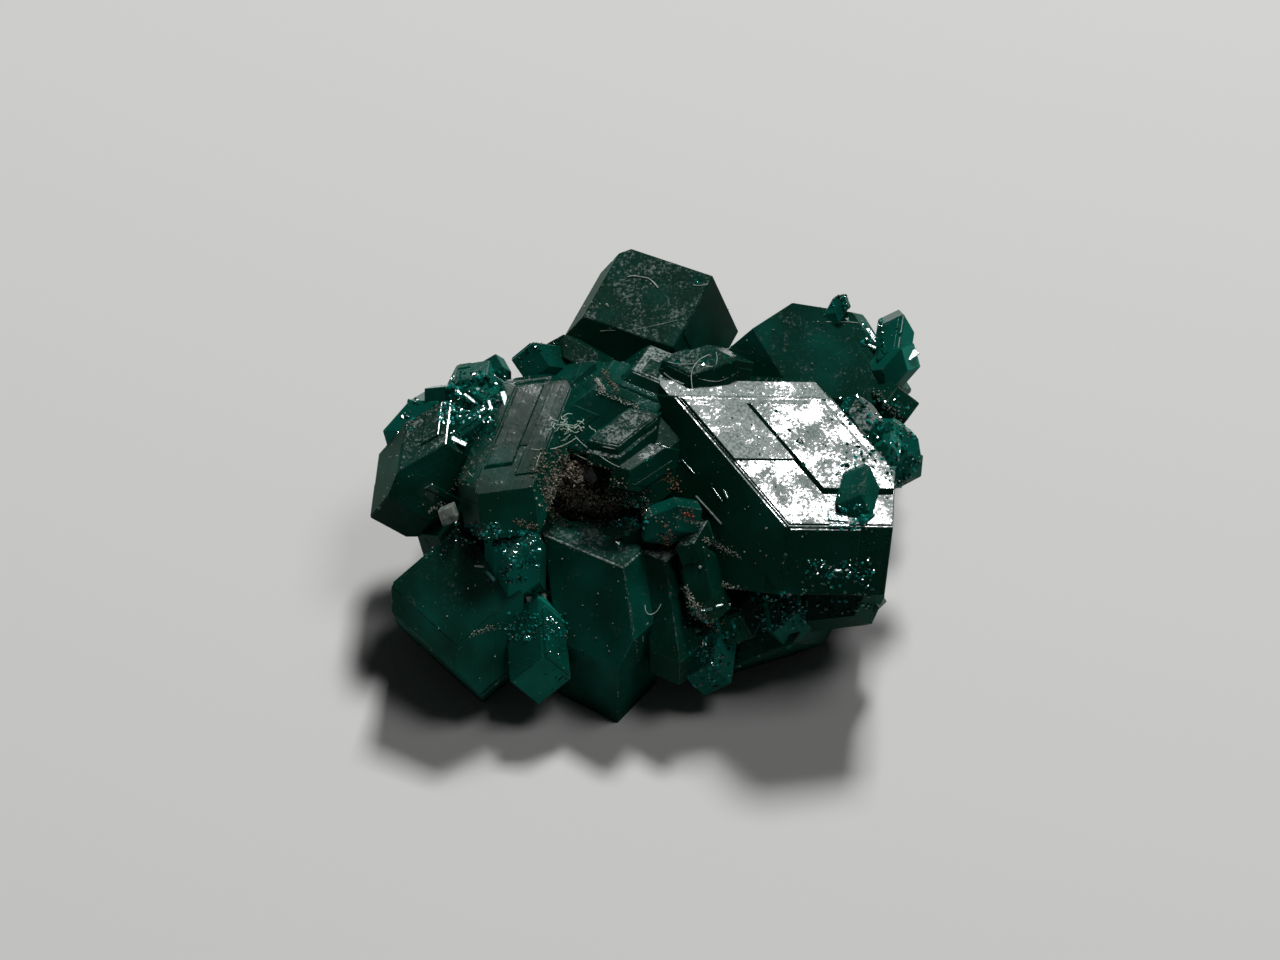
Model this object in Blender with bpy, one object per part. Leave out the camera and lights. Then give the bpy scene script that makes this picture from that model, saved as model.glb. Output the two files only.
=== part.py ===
"""A hand specimen of dioptase: dark green crystals grown together on a little sandy rock.

Every crystal is the same habit at its own size and turn: a six-sided prism closed at both ends by
three rhomb faces, built as a block that is cut once along each face. The crystals grew into one
another, so they are joined in one solid. The pocket between them holds the sandy host rock, and a
pale grain is wedged in a crack on the left.
"""
import math
import random

import bmesh
import bpy
from mathutils import Matrix, Vector

MM = 0.001

# Driving dimensions, in millimetres. +Z is up and +Y points away from the viewer of the front.
TOUCH_GAP = 0.3          # clear space between pieces that rest on each other
RHOMB_SLOPE = 51.0       # degrees between a rhomb face's normal and the crystal's long axis
PRISM_FACES = (30, 90, 150, 210, 270, 330)
TOP_FACES = (0, 120, 240)
BOTTOM_FACES = (60, 180, 300)
GROUND_SIZE = 60.0       # side of the block that cuts the underside level
STEP_INSET = 0.06        # how far a growth step's other faces stay inside the crystal's own
CORNER_REACH = 2.0 / math.sqrt(3.0)   # a hexagon's corner radius over its flat radius

# Resting pieces: middle, size, turn, seed and roughness of each one's outline.
ROCK = ((-0.9, -1.2, 5.3), (6.8, 3.0, 5.6), (4, 0, 0), 3, 0.05)
ROCK_BREAK = (-0.9, -3.8, 15.2)       # middle of the rounded tool that breaks off the rock's top
ROCK_BREAK_SIZE = (16.0, 16.0, 17.0)
GRAIN = ((-8.1, -3.6, 7.1), (1.2, 0.8, 0.7), (20, 25, 0), 5, 0.15)


def clear_scene():
    for old in list(bpy.data.objects):
        bpy.data.objects.remove(old, do_unlink=True)
    for old in list(bpy.data.collections):
        bpy.data.collections.remove(old)


def make_collection(name):
    made = bpy.data.collections.new(name)
    bpy.context.scene.collection.children.link(made)
    return made


def make_material(name, colour, roughness, transmission=0.0, ior=1.5):
    material = bpy.data.materials.new(name)
    material.use_nodes = True
    shader = material.node_tree.nodes["Principled BSDF"]
    shader.inputs["Base Color"].default_value = (*colour, 1.0)
    shader.inputs["Roughness"].default_value = roughness
    shader.inputs["Metallic"].default_value = 0.0
    shader.inputs["Transmission Weight"].default_value = transmission
    shader.inputs["IOR"].default_value = ior
    return material


def face_normals():
    """Outward normals of the crystal's twelve faces, named by kind and compass angle."""
    slope = math.radians(RHOMB_SLOPE)
    normals = {}
    for angle in PRISM_FACES:
        turn = math.radians(angle)
        normals[f"a{angle}"] = Vector((math.cos(turn), math.sin(turn), 0.0))
    for prefix, angles, up in (("s", TOP_FACES, 1.0), ("t", BOTTOM_FACES, -1.0)):
        for angle in angles:
            turn = math.radians(angle)
            flat = math.sin(slope)
            normals[f"{prefix}{angle}"] = Vector(
                (flat * math.cos(turn), flat * math.sin(turn), up * math.cos(slope)))
    return normals


NORMALS = face_normals()


def face_distances(radius, length, reach):
    """Distance of each face from the crystal's middle; `reach` moves single faces in or out."""
    slope = math.radians(RHOMB_SLOPE)
    end = math.sin(slope) * CORNER_REACH * radius + math.cos(slope) * length / 2
    distances = {name: radius if name.startswith("a") else end for name in NORMALS}
    distances.update(reach)
    return distances


def corner_point(faces, distances):
    """The point where three faces meet, in the crystal's own frame."""
    planes = Matrix([NORMALS[name] for name in faces])
    return planes.inverted() @ Vector([distances[name] for name in faces])


def turned(heading, lean, spin):
    """Leans the long axis away from upright towards a heading, after a spin about itself."""
    return (Matrix.Rotation(math.radians(heading), 4, "Z")
            @ Matrix.Rotation(math.radians(lean), 4, "Y")
            @ Matrix.Rotation(math.radians(spin), 4, "Z"))


def cut_away(body, point, normal):
    """Removes what lies beyond a plane and closes the cut."""
    geometry = body.verts[:] + body.edges[:] + body.faces[:]
    cut = bmesh.ops.bisect_plane(
        body, geom=geometry, plane_co=point, plane_no=normal, dist=1e-7, clear_outer=True)
    rim = [item for item in cut["geom_cut"] if isinstance(item, bmesh.types.BMEdge)]
    if rim:
        bmesh.ops.contextual_create(body, geom=rim)


def add_crystal(group, name, place, turn, radius, length, corner=None, layers=(), **reach):
    """One crystal. `place` is where its middle is, or the named corner, in millimetres.

    Each of the `layers` is a growth step: the same crystal again with some faces moved, so that it
    stands proud of one face and stops short of the others.
    """
    distances = face_distances(radius, length, reach)
    rotation = turned(*turn)
    middle = Vector(place)
    if corner:
        middle -= rotation.to_3x3() @ corner_point(corner, distances)
    matrix = Matrix.Translation(middle * MM) @ rotation
    for number, moves in enumerate(layers, start=1):
        stepped = {face: distances[face] + moves.get(face, -STEP_INSET) for face in distances}
        add_block(group, f"{name}_step_{number}", matrix, stepped)
    return add_block(group, name, matrix, distances)


def add_block(group, name, matrix, distances):
    """A block cut once along each crystal face."""
    body = bmesh.new()
    bmesh.ops.create_cube(body, size=8.0 * max(distances.values()) * MM)
    for face, normal in NORMALS.items():
        cut_away(body, normal * distances[face] * MM, normal)
    return finish_object(group, name, body, matrix)


def finish_object(group, name, body, matrix):
    bmesh.ops.recalc_face_normals(body, faces=body.faces[:])
    mesh = bpy.data.meshes.new(name)
    body.to_mesh(mesh)
    body.free()
    made = bpy.data.objects.new(name, mesh)
    made.matrix_world = matrix
    group.objects.link(made)
    return made


def add_lump(group, name, place, size, turn, seed, roughness, detail=2):
    """A rough rounded mass: a ball pushed in and out at random."""
    chance = random.Random(seed)
    body = bmesh.new()
    bmesh.ops.create_icosphere(body, subdivisions=detail, radius=0.5 * MM)
    for vertex in body.verts:
        vertex.co *= 1.0 + chance.uniform(-roughness, roughness)
        vertex.co = Vector(a * b for a, b in zip(vertex.co, size))
    matrix = Matrix.Translation(Vector(place) * MM) @ turned(*turn)
    return finish_object(group, name, body, matrix)


SHOULDER = ("s0", "a30", "a330")   # where an end rhomb meets two prism faces
PEAK = ("s0", "s120", "s240")      # where the three end rhombs meet
WAIST = ("a30", "s120", "a90")     # where two end rhombs and two prism faces meet


def add_right_crystals(group):
    """The big stepped crystal on the right with the ones behind it and on its edges."""
    add_crystal(group, "big_right", (6.2, -5.9, 9.0), (305, 95, 207), 4.0, 6.4,
                corner=SHOULDER, s0=5.7, s120=3.2, s240=4.7, a270=4.9, t300=4.8,
                layers=({"a330": 0.12, "s0": -2.5, "a270": -0.3, "t300": -0.1},
                        {"a330": 0.26, "a30": -1.9, "s0": -1.2, "a270": -0.4, "t300": -0.25},
                        {"a330": -0.3, "t300": 0.6}))
    add_crystal(group, "back_right", (6.7, 8.0, 7.6), (187, 70, 135), 3.0, 3.2,
                corner=WAIST, a30=2.4, a90=3.4, s0=4.0, s120=3.5, t60=2.9, t180=2.6, t300=2.4,
                layers=({"a30": 0.12, "s120": -3.0, "t60": -0.5, "a90": -0.4},
                        {"a90": 0.15, "a30": -0.4, "s120": -2.4, "t60": -0.6}))
    add_crystal(group, "back_right_chip", (8.7, 8.2, 6.9), (60, 70, 15), 0.4, 0.6)
    add_crystal(group, "far_right_top", (11.2, 7.1, 5.9), (80, 70, 20), 0.75, 1.2)
    add_crystal(group, "far_right_bright", (11.1, 6.0, 5.5), (40, 60, 10), 0.8, 0.7)
    add_crystal(group, "far_right_low", (10.8, 4.6, 4.8), (300, 70, 35), 0.9, 1.2)
    add_crystal(group, "right_tan", (9.6, 1.0, 7.6), (120, 80, 15), 0.7, 1.0)
    add_crystal(group, "right_teal", (10.2, 0.6, 7.2), (30, 80, 5), 0.6, 0.8)
    add_crystal(group, "right_faceted", (10.4, -0.2, 6.9), (60, 40, 25), 0.7, 0.5)
    add_crystal(group, "right_cluster", (11.2, 0.7, 6.2), (100, 60, 5), 0.8, 0.6)
    add_crystal(group, "right_cluster_low", (11.1, 0.1, 5.6), (20, 70, 25), 0.7, 0.6)
    add_crystal(group, "grown_in", (9.1, -4.0, 8.8), (75, 80, 20), 0.8, 0.9)
    add_crystal(group, "grown_in_small", (9.2, -5.2, 8.3), (10, 50, 40), 0.5, 0.3)


def add_top_crystals(group):
    """The clean crystal that stands at the back and the small ones left of it."""
    add_crystal(group, "top_crystal", (3.2, 8.7, 8.6), (18, 41, 59), 3.1, 2.4,
                corner=PEAK, a90=3.4, t60=1.9, t180=2.4,
                layers=({"s0": 0.15, "s120": -0.3, "s240": -0.5},))
    add_crystal(group, "back_left_small", (-4.2, 5.0, 6.9), (200, 60, 10), 0.9, 0.8)
    add_crystal(group, "back_left_dark", (-2.6, 5.2, 6.8), (150, 80, 14), 0.8, 1.2)


def add_middle_crystals(group):
    """The stepped and etched crystals across the crown."""
    add_crystal(group, "long_slab", (-4.5, -3.6, 8.8), (253, 93, 140), 1.8, 4.2,
                corner=SHOULDER, a30=1.5, a90=1.7,
                layers=({"a30": 0.12, "a330": -1.0, "s0": -0.9, "s120": -0.6},
                        {"a30": 0.06, "a90": -1.2, "s0": -0.5}))
    add_crystal(group, "crown_pale", (-0.3, 2.5, 9.4), (26, 64, 170), 1.9, 1.4,
                corner=SHOULDER, a90=2.1, s240=1.7, t60=1.4)
    add_crystal(group, "crown_ridge", (-2.0, 1.5, 9.3), (26, 64, 170), 2.2, 1.6,
                corner=SHOULDER, s240=2.0,
                layers=({"s0": 0.15, "a30": -0.5, "a330": -0.2},))
    add_crystal(group, "crown_etched", (2.7, 2.6, 8.6), (20, 85, 25), 1.25, 1.2,
                layers=({"a30": 0.15, "a90": -0.3, "s0": -0.4, "t60": -0.3},
                        {"a90": 0.15, "a30": -0.3, "s120": -0.5, "t60": -0.2}))
    add_crystal(group, "crown_plate", (-0.9, -1.8, 9.3), (224, 94, 146), 1.0, 1.7,
                corner=SHOULDER, s240=1.1,
                layers=({"a30": -0.25, "a330": 0.15, "s0": 0.15},))
    add_crystal(group, "crown_bar", (-0.4, -2.6, 8.7), (220, 91, 144), 0.8, 1.9,
                corner=SHOULDER, a330=0.6, s240=1.1, t60=1.0)
    add_crystal(group, "crown_root", (0.8, -0.2, 7.0), (224, 94, 146), 1.6, 2.4)


def add_left_crystals(group):
    """The crystals that lean out over the left side."""
    add_crystal(group, "left_crystal", (-8.3, -0.5, 8.0), (29, 78, 202), 2.2, 3.6,
                corner=SHOULDER, a90=2.0, a150=0.9, a270=2.3, a330=2.5, s0=2.8, t60=2.5, t180=1.4,
                t300=2.0, layers=({"a330": 0.1, "a30": -0.5, "t300": -0.6, "s0": -0.2},))
    add_crystal(group, "left_druse_a", (-8.0, 2.4, 6.9), (170, 50, 0), 0.9, 0.9)
    add_crystal(group, "left_druse_b", (-7.4, 3.0, 6.8), (60, 60, 30), 1.1, 0.8)
    add_crystal(group, "left_druse_c", (-6.4, 2.4, 7.0), (310, 70, 30), 1.2, 1.1)
    add_crystal(group, "left_druse_d", (-6.7, 0.6, 7.0), (20, 60, 10), 1.2, 1.4)
    add_crystal(group, "left_druse_e", (-9.4, 2.0, 6.2), (40, 60, 20), 1.1, 1.0)
    add_crystal(group, "left_round_a", (-7.3, 4.4, 6.2), (200, 40, 0), 0.7, 0.4)
    add_crystal(group, "left_round_b", (-6.3, 4.5, 6.6), (90, 30, 30), 0.6, 0.5)
    add_crystal(group, "lower_left", (-7.7, -4.0, 6.6), (89, 27, 181), 2.8, 2.6,
                corner=PEAK, t60=2.6, t180=1.6, t300=1.2,
                layers=({"s120": 0.15, "s0": -0.6, "s240": -1.0},
                        {"s240": 0.12, "s0": -0.3, "s120": -1.2}))
    add_crystal(group, "under_left", (-7.4, -2.2, 4.4), (30, 50, 10), 1.3, 1.6)
    add_crystal(group, "left_sparkle", (-5.3, -5.0, 5.5), (89, 35, 170), 1.2, 1.2)


def add_front_crystals(group):
    """The broad front crystal with its dusty top and the bottom row beside it."""
    add_crystal(group, "front_crystal", (-0.7, -5.7, 6.0), (99, 61, 182), 3.1, 3.3,
                corner=SHOULDER, a30=3.3, a90=2.1, a270=2.2, a330=2.5, s0=4.1, s120=3.5, s240=5.2,
                t60=2.3, t300=2.2,
                layers=({"s0": 0.1, "a330": -1.3, "a30": -1.1},))
    add_crystal(group, "front_side", (1.2, -6.2, 3.9), (99, 61, 182), 1.1, 3.6)
    add_crystal(group, "bottom_left", (-4.5, -7.3, 2.9), (95, 60, 10), 1.3, 1.6,
                layers=({"a30": 0.1, "s0": -0.5}, {"a210": 0.12, "s120": -0.4}))
    add_crystal(group, "bar_crystal", (0.3, -3.9, 7.2), (172, 126, 164), 0.8, 1.1, corner=SHOULDER)
    add_crystal(group, "notch_crystal", (2.7, -5.8, 5.2), (100, 60, 5), 0.9, 1.4)
    add_crystal(group, "notch_small", (2.4, -4.6, 6.4), (60, 75, 12), 0.6, 0.8)
    add_crystal(group, "low_teal", (3.0, -7.4, 2.6), (80, 50, 15), 1.0, 1.2)
    add_crystal(group, "low_dark", (4.5, -6.5, 4.0), (60, 70, 5), 0.9, 0.8)
    add_crystal(group, "low_bright", (6.0, -6.3, 4.1), (100, 60, 25), 1.0, 0.9)
    add_crystal(group, "low_right", (8.1, -5.9, 3.9), (5, 85, 15), 1.0, 1.9)
    add_crystal(group, "low_right_end", (9.2, -5.1, 3.4), (310, 70, 5), 0.8, 1.0)


def add_base(group):
    """The massive dioptase under the crystals, cut flat where the specimen stands."""
    add_crystal(group, "base_middle", (0.0, -0.6, 3.2), (20, 85, 10), 4.0, 6.0,
                a150=3.0, a210=2.8, t180=4.0)
    add_crystal(group, "base_front", (-2.6, -5.0, 1.8), (10, 80, 20), 2.2, 3.6)
    add_crystal(group, "base_right", (6.0, -2.4, 2.6), (60, 80, 0), 3.2, 4.0)
    add_crystal(group, "base_back", (2.5, 4.6, 3.2), (150, 80, 25), 3.0, 4.0)
    add_crystal(group, "base_left", (-5.2, -1.0, 3.4), (100, 70, 12), 2.8, 2.8)
    add_crystal(group, "base_back_left", (-3.8, 3.2, 4.6), (40, 75, 8), 2.3, 2.6)
    add_crystal(group, "base_under_left", (-5.4, -4.4, 2.6), (160, 70, 22), 2.0, 2.2)


def add_seat(cutters, name, place, size, turn, seed, roughness):
    """The space a resting piece sits in: its own outline, larger all round by the gap."""
    room = tuple(side + 2 * TOUCH_GAP for side in size)
    seat = add_lump(cutters, name, place, room, turn, seed, roughness)
    hide_helper(seat)
    return seat


def add_ground(cutters):
    """All that lies under the level the specimen stands on."""
    body = bmesh.new()
    bmesh.ops.create_cube(body, size=GROUND_SIZE * MM)
    ground = finish_object(cutters, "ground", body, Matrix.Translation((0, 0, -GROUND_SIZE / 2 * MM)))
    hide_helper(ground)
    return ground


def cut_out(target, cutter):
    cut = target.modifiers.new(cutter.name, "BOOLEAN")
    cut.operation = "DIFFERENCE"
    cut.solver = "EXACT"
    cut.object = cutter


def join_crystals(parts, cutters, material):
    """One solid from all the crystals, opened where the rock and the grain sit."""
    crystals = make_collection("crystal_blocks")
    for build in (add_base, add_right_crystals, add_top_crystals, add_middle_crystals,
                  add_left_crystals, add_front_crystals):
        build(crystals)
    for block in crystals.objects:
        hide_helper(block)
    core = add_crystal(parts, "dioptase_crystals", (0.5, -0.5, 3.0), (75, 88, 8), 3.0, 6.0)
    core.data.materials.append(material)
    join = core.modifiers.new("grown_together", "BOOLEAN")
    join.operation = "UNION"
    join.solver = "EXACT"
    join.operand_type = "COLLECTION"
    join.collection = crystals
    cut_out(core, add_ground(cutters))
    cut_out(core, add_seat(cutters, "rock_pocket", *ROCK))
    cut_out(core, add_seat(cutters, "grain_seat", *GRAIN))
    return core


def add_rock(parts, cutters, material):
    """The host rock in the pocket, broken off rough a little below the crystals' rims."""
    rock = add_lump(parts, "host_rock", *ROCK)
    rock.data.materials.append(material)
    broken = add_lump(cutters, "rock_break", ROCK_BREAK, ROCK_BREAK_SIZE, (0, 14, 0), 11,
                      roughness=0.06, detail=3)
    hide_helper(broken)
    cut_out(rock, broken)
    return rock


def add_grain(parts, material):
    """The pale grain wedged between three crystals on the left."""
    grain = add_lump(parts, "pale_grain", *GRAIN, detail=1)
    grain.data.materials.append(material)
    return grain


def hide_helper(made):
    made.hide_render = True
    made.display_type = "WIRE"


def centre_over_origin(parts):
    """Slides everything sideways until the middle of the specimen's outline is over the origin."""
    graph = bpy.context.evaluated_depsgraph_get()
    corners = [made.matrix_world @ vertex.co
               for made in parts.objects for vertex in made.evaluated_get(graph).data.vertices]
    for axis in (0, 1):
        reached = [corner[axis] for corner in corners]
        for made in bpy.data.objects:
            made.location[axis] -= (min(reached) + max(reached)) / 2


def main():
    clear_scene()
    parts = make_collection("dioptase_specimen")
    cutters = make_collection("cutters")
    green = make_material("dioptase_green", (0.0, 0.09, 0.055), 0.15, transmission=0.3, ior=1.66)
    sand = make_material("sandy_rock", (0.30, 0.24, 0.17), 0.9)
    pale = make_material("pale_mineral", (0.62, 0.62, 0.56), 0.55)
    join_crystals(parts, cutters, green)
    add_rock(parts, cutters, sand)
    add_grain(parts, pale)
    centre_over_origin(parts)


main()
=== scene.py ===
"""Looks of a dioptase specimen: dark green crystals grown together on a little sandy rock.

Each crystal is one habit, a six-sided prism closed at both ends by three rhomb faces, at its own
size and turn. A crystal starts as a cube that is bisected along each of its twelve faces; the same
crystal again with faces moved a little gives its growth steps. All are joined in one body, and
chips and pits are taken off its edges and faces. The druse, the sand, the flakes and the lint are
copies of a few patterns, laid on the surface. Sizes are in millimetres until they are placed.
"""

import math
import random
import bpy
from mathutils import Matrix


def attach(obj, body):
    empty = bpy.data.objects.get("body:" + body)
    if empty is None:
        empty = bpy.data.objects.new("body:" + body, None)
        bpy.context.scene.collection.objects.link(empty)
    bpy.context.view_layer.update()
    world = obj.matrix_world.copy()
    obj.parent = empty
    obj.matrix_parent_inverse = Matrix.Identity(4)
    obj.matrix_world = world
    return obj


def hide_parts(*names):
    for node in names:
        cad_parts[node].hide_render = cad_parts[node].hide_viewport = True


bl_info = {
    "name": "Dioptase specimen",
    "version": (1, 0, 0),
    "blender": (4, 5, 0),
    "location": "3D View > Sidebar > Dioptase",
    "description": "Crystals, druse, host rock and lint of a dioptase specimen, with its stage",
    "category": "Add Mesh",
}

from contextlib import contextmanager
from types import SimpleNamespace

import bpy
from bpy.props import FloatProperty, FloatVectorProperty, IntProperty, PointerProperty
from mathutils import Matrix, Vector, noise
from mathutils.bvhtree import BVHTree

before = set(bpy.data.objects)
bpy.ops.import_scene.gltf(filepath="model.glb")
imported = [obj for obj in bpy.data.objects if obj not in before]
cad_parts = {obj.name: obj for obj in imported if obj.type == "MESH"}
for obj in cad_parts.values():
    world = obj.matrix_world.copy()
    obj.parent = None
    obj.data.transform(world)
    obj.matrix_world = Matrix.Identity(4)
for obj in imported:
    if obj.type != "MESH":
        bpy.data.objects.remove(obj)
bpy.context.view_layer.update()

MM = 0.001
MIDDLE = Vector((-0.4008, -0.7817, 0.0))   # brings the places below over the frame's origin

# The view of the front: a 1280 by 960 picture that looks down on the specimen.
PICTURE = (1280, 960)
PIXEL = 0.0433                 # millimetres that one pixel covers at the aim
AIM = (0.0, 0.0, 5.0)
VIEW_HEIGHT = 50.0             # degrees above the floor
VIEW_DISTANCE = 190.0
SOFTBOX_AT = (13.0, 50.5)      # compass angle from +Y towards +X, and height above the floor
OVERHEAD_AT = (80.0, 66.0)
# Each light's distance and width, and the floor's width, in metres.
LIGHTS = (("softbox", SOFTBOX_AT, 0.55, 0.1), ("overhead", OVERHEAD_AT, 0.6, 0.2))
FLOOR_WIDTH = 1.2
SENSOR_WIDTH = 36.0

RHOMB_SLOPE = 51.0
PRISM_FACES = (30, 90, 150, 210, 270, 330)
TOP_FACES = (0, 120, 240)
BOTTOM_FACES = (60, 180, 300)
CORNER_REACH = 2.0 / math.sqrt(3.0)
CUBE_ROOM = 8.0                # side of the cube to be bisected, by its farthest face
STEP_INSET = 0.06
SHOULDER = ("s0", "a30", "a330")
PEAK = ("s0", "s120", "s240")
WAIST = ("a30", "s120", "a90")


def habit(place, turn, radius, length, film, loose, tone, corner=None, steps=(), **moved):
    """One crystal: its middle or the named corner is at `place`, turned by heading, lean and spin.

    `film` is the dust on faces that look up, `loose` the number of growth steps added by chance,
    and `tone` runs from deep green at 0 to bright teal at 1, partly the crystal's own colour and
    partly painted glow of light shining through it. `steps` are growth steps, by how far faces
    stand proud, and `moved` gives single faces their own distance from the middle.
    """
    return SimpleNamespace(place=place, turn=turn, radius=radius, length=length, film=film,
                           loose=loose, tone=tone, corner=corner, steps=steps, moved=moved)
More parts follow.
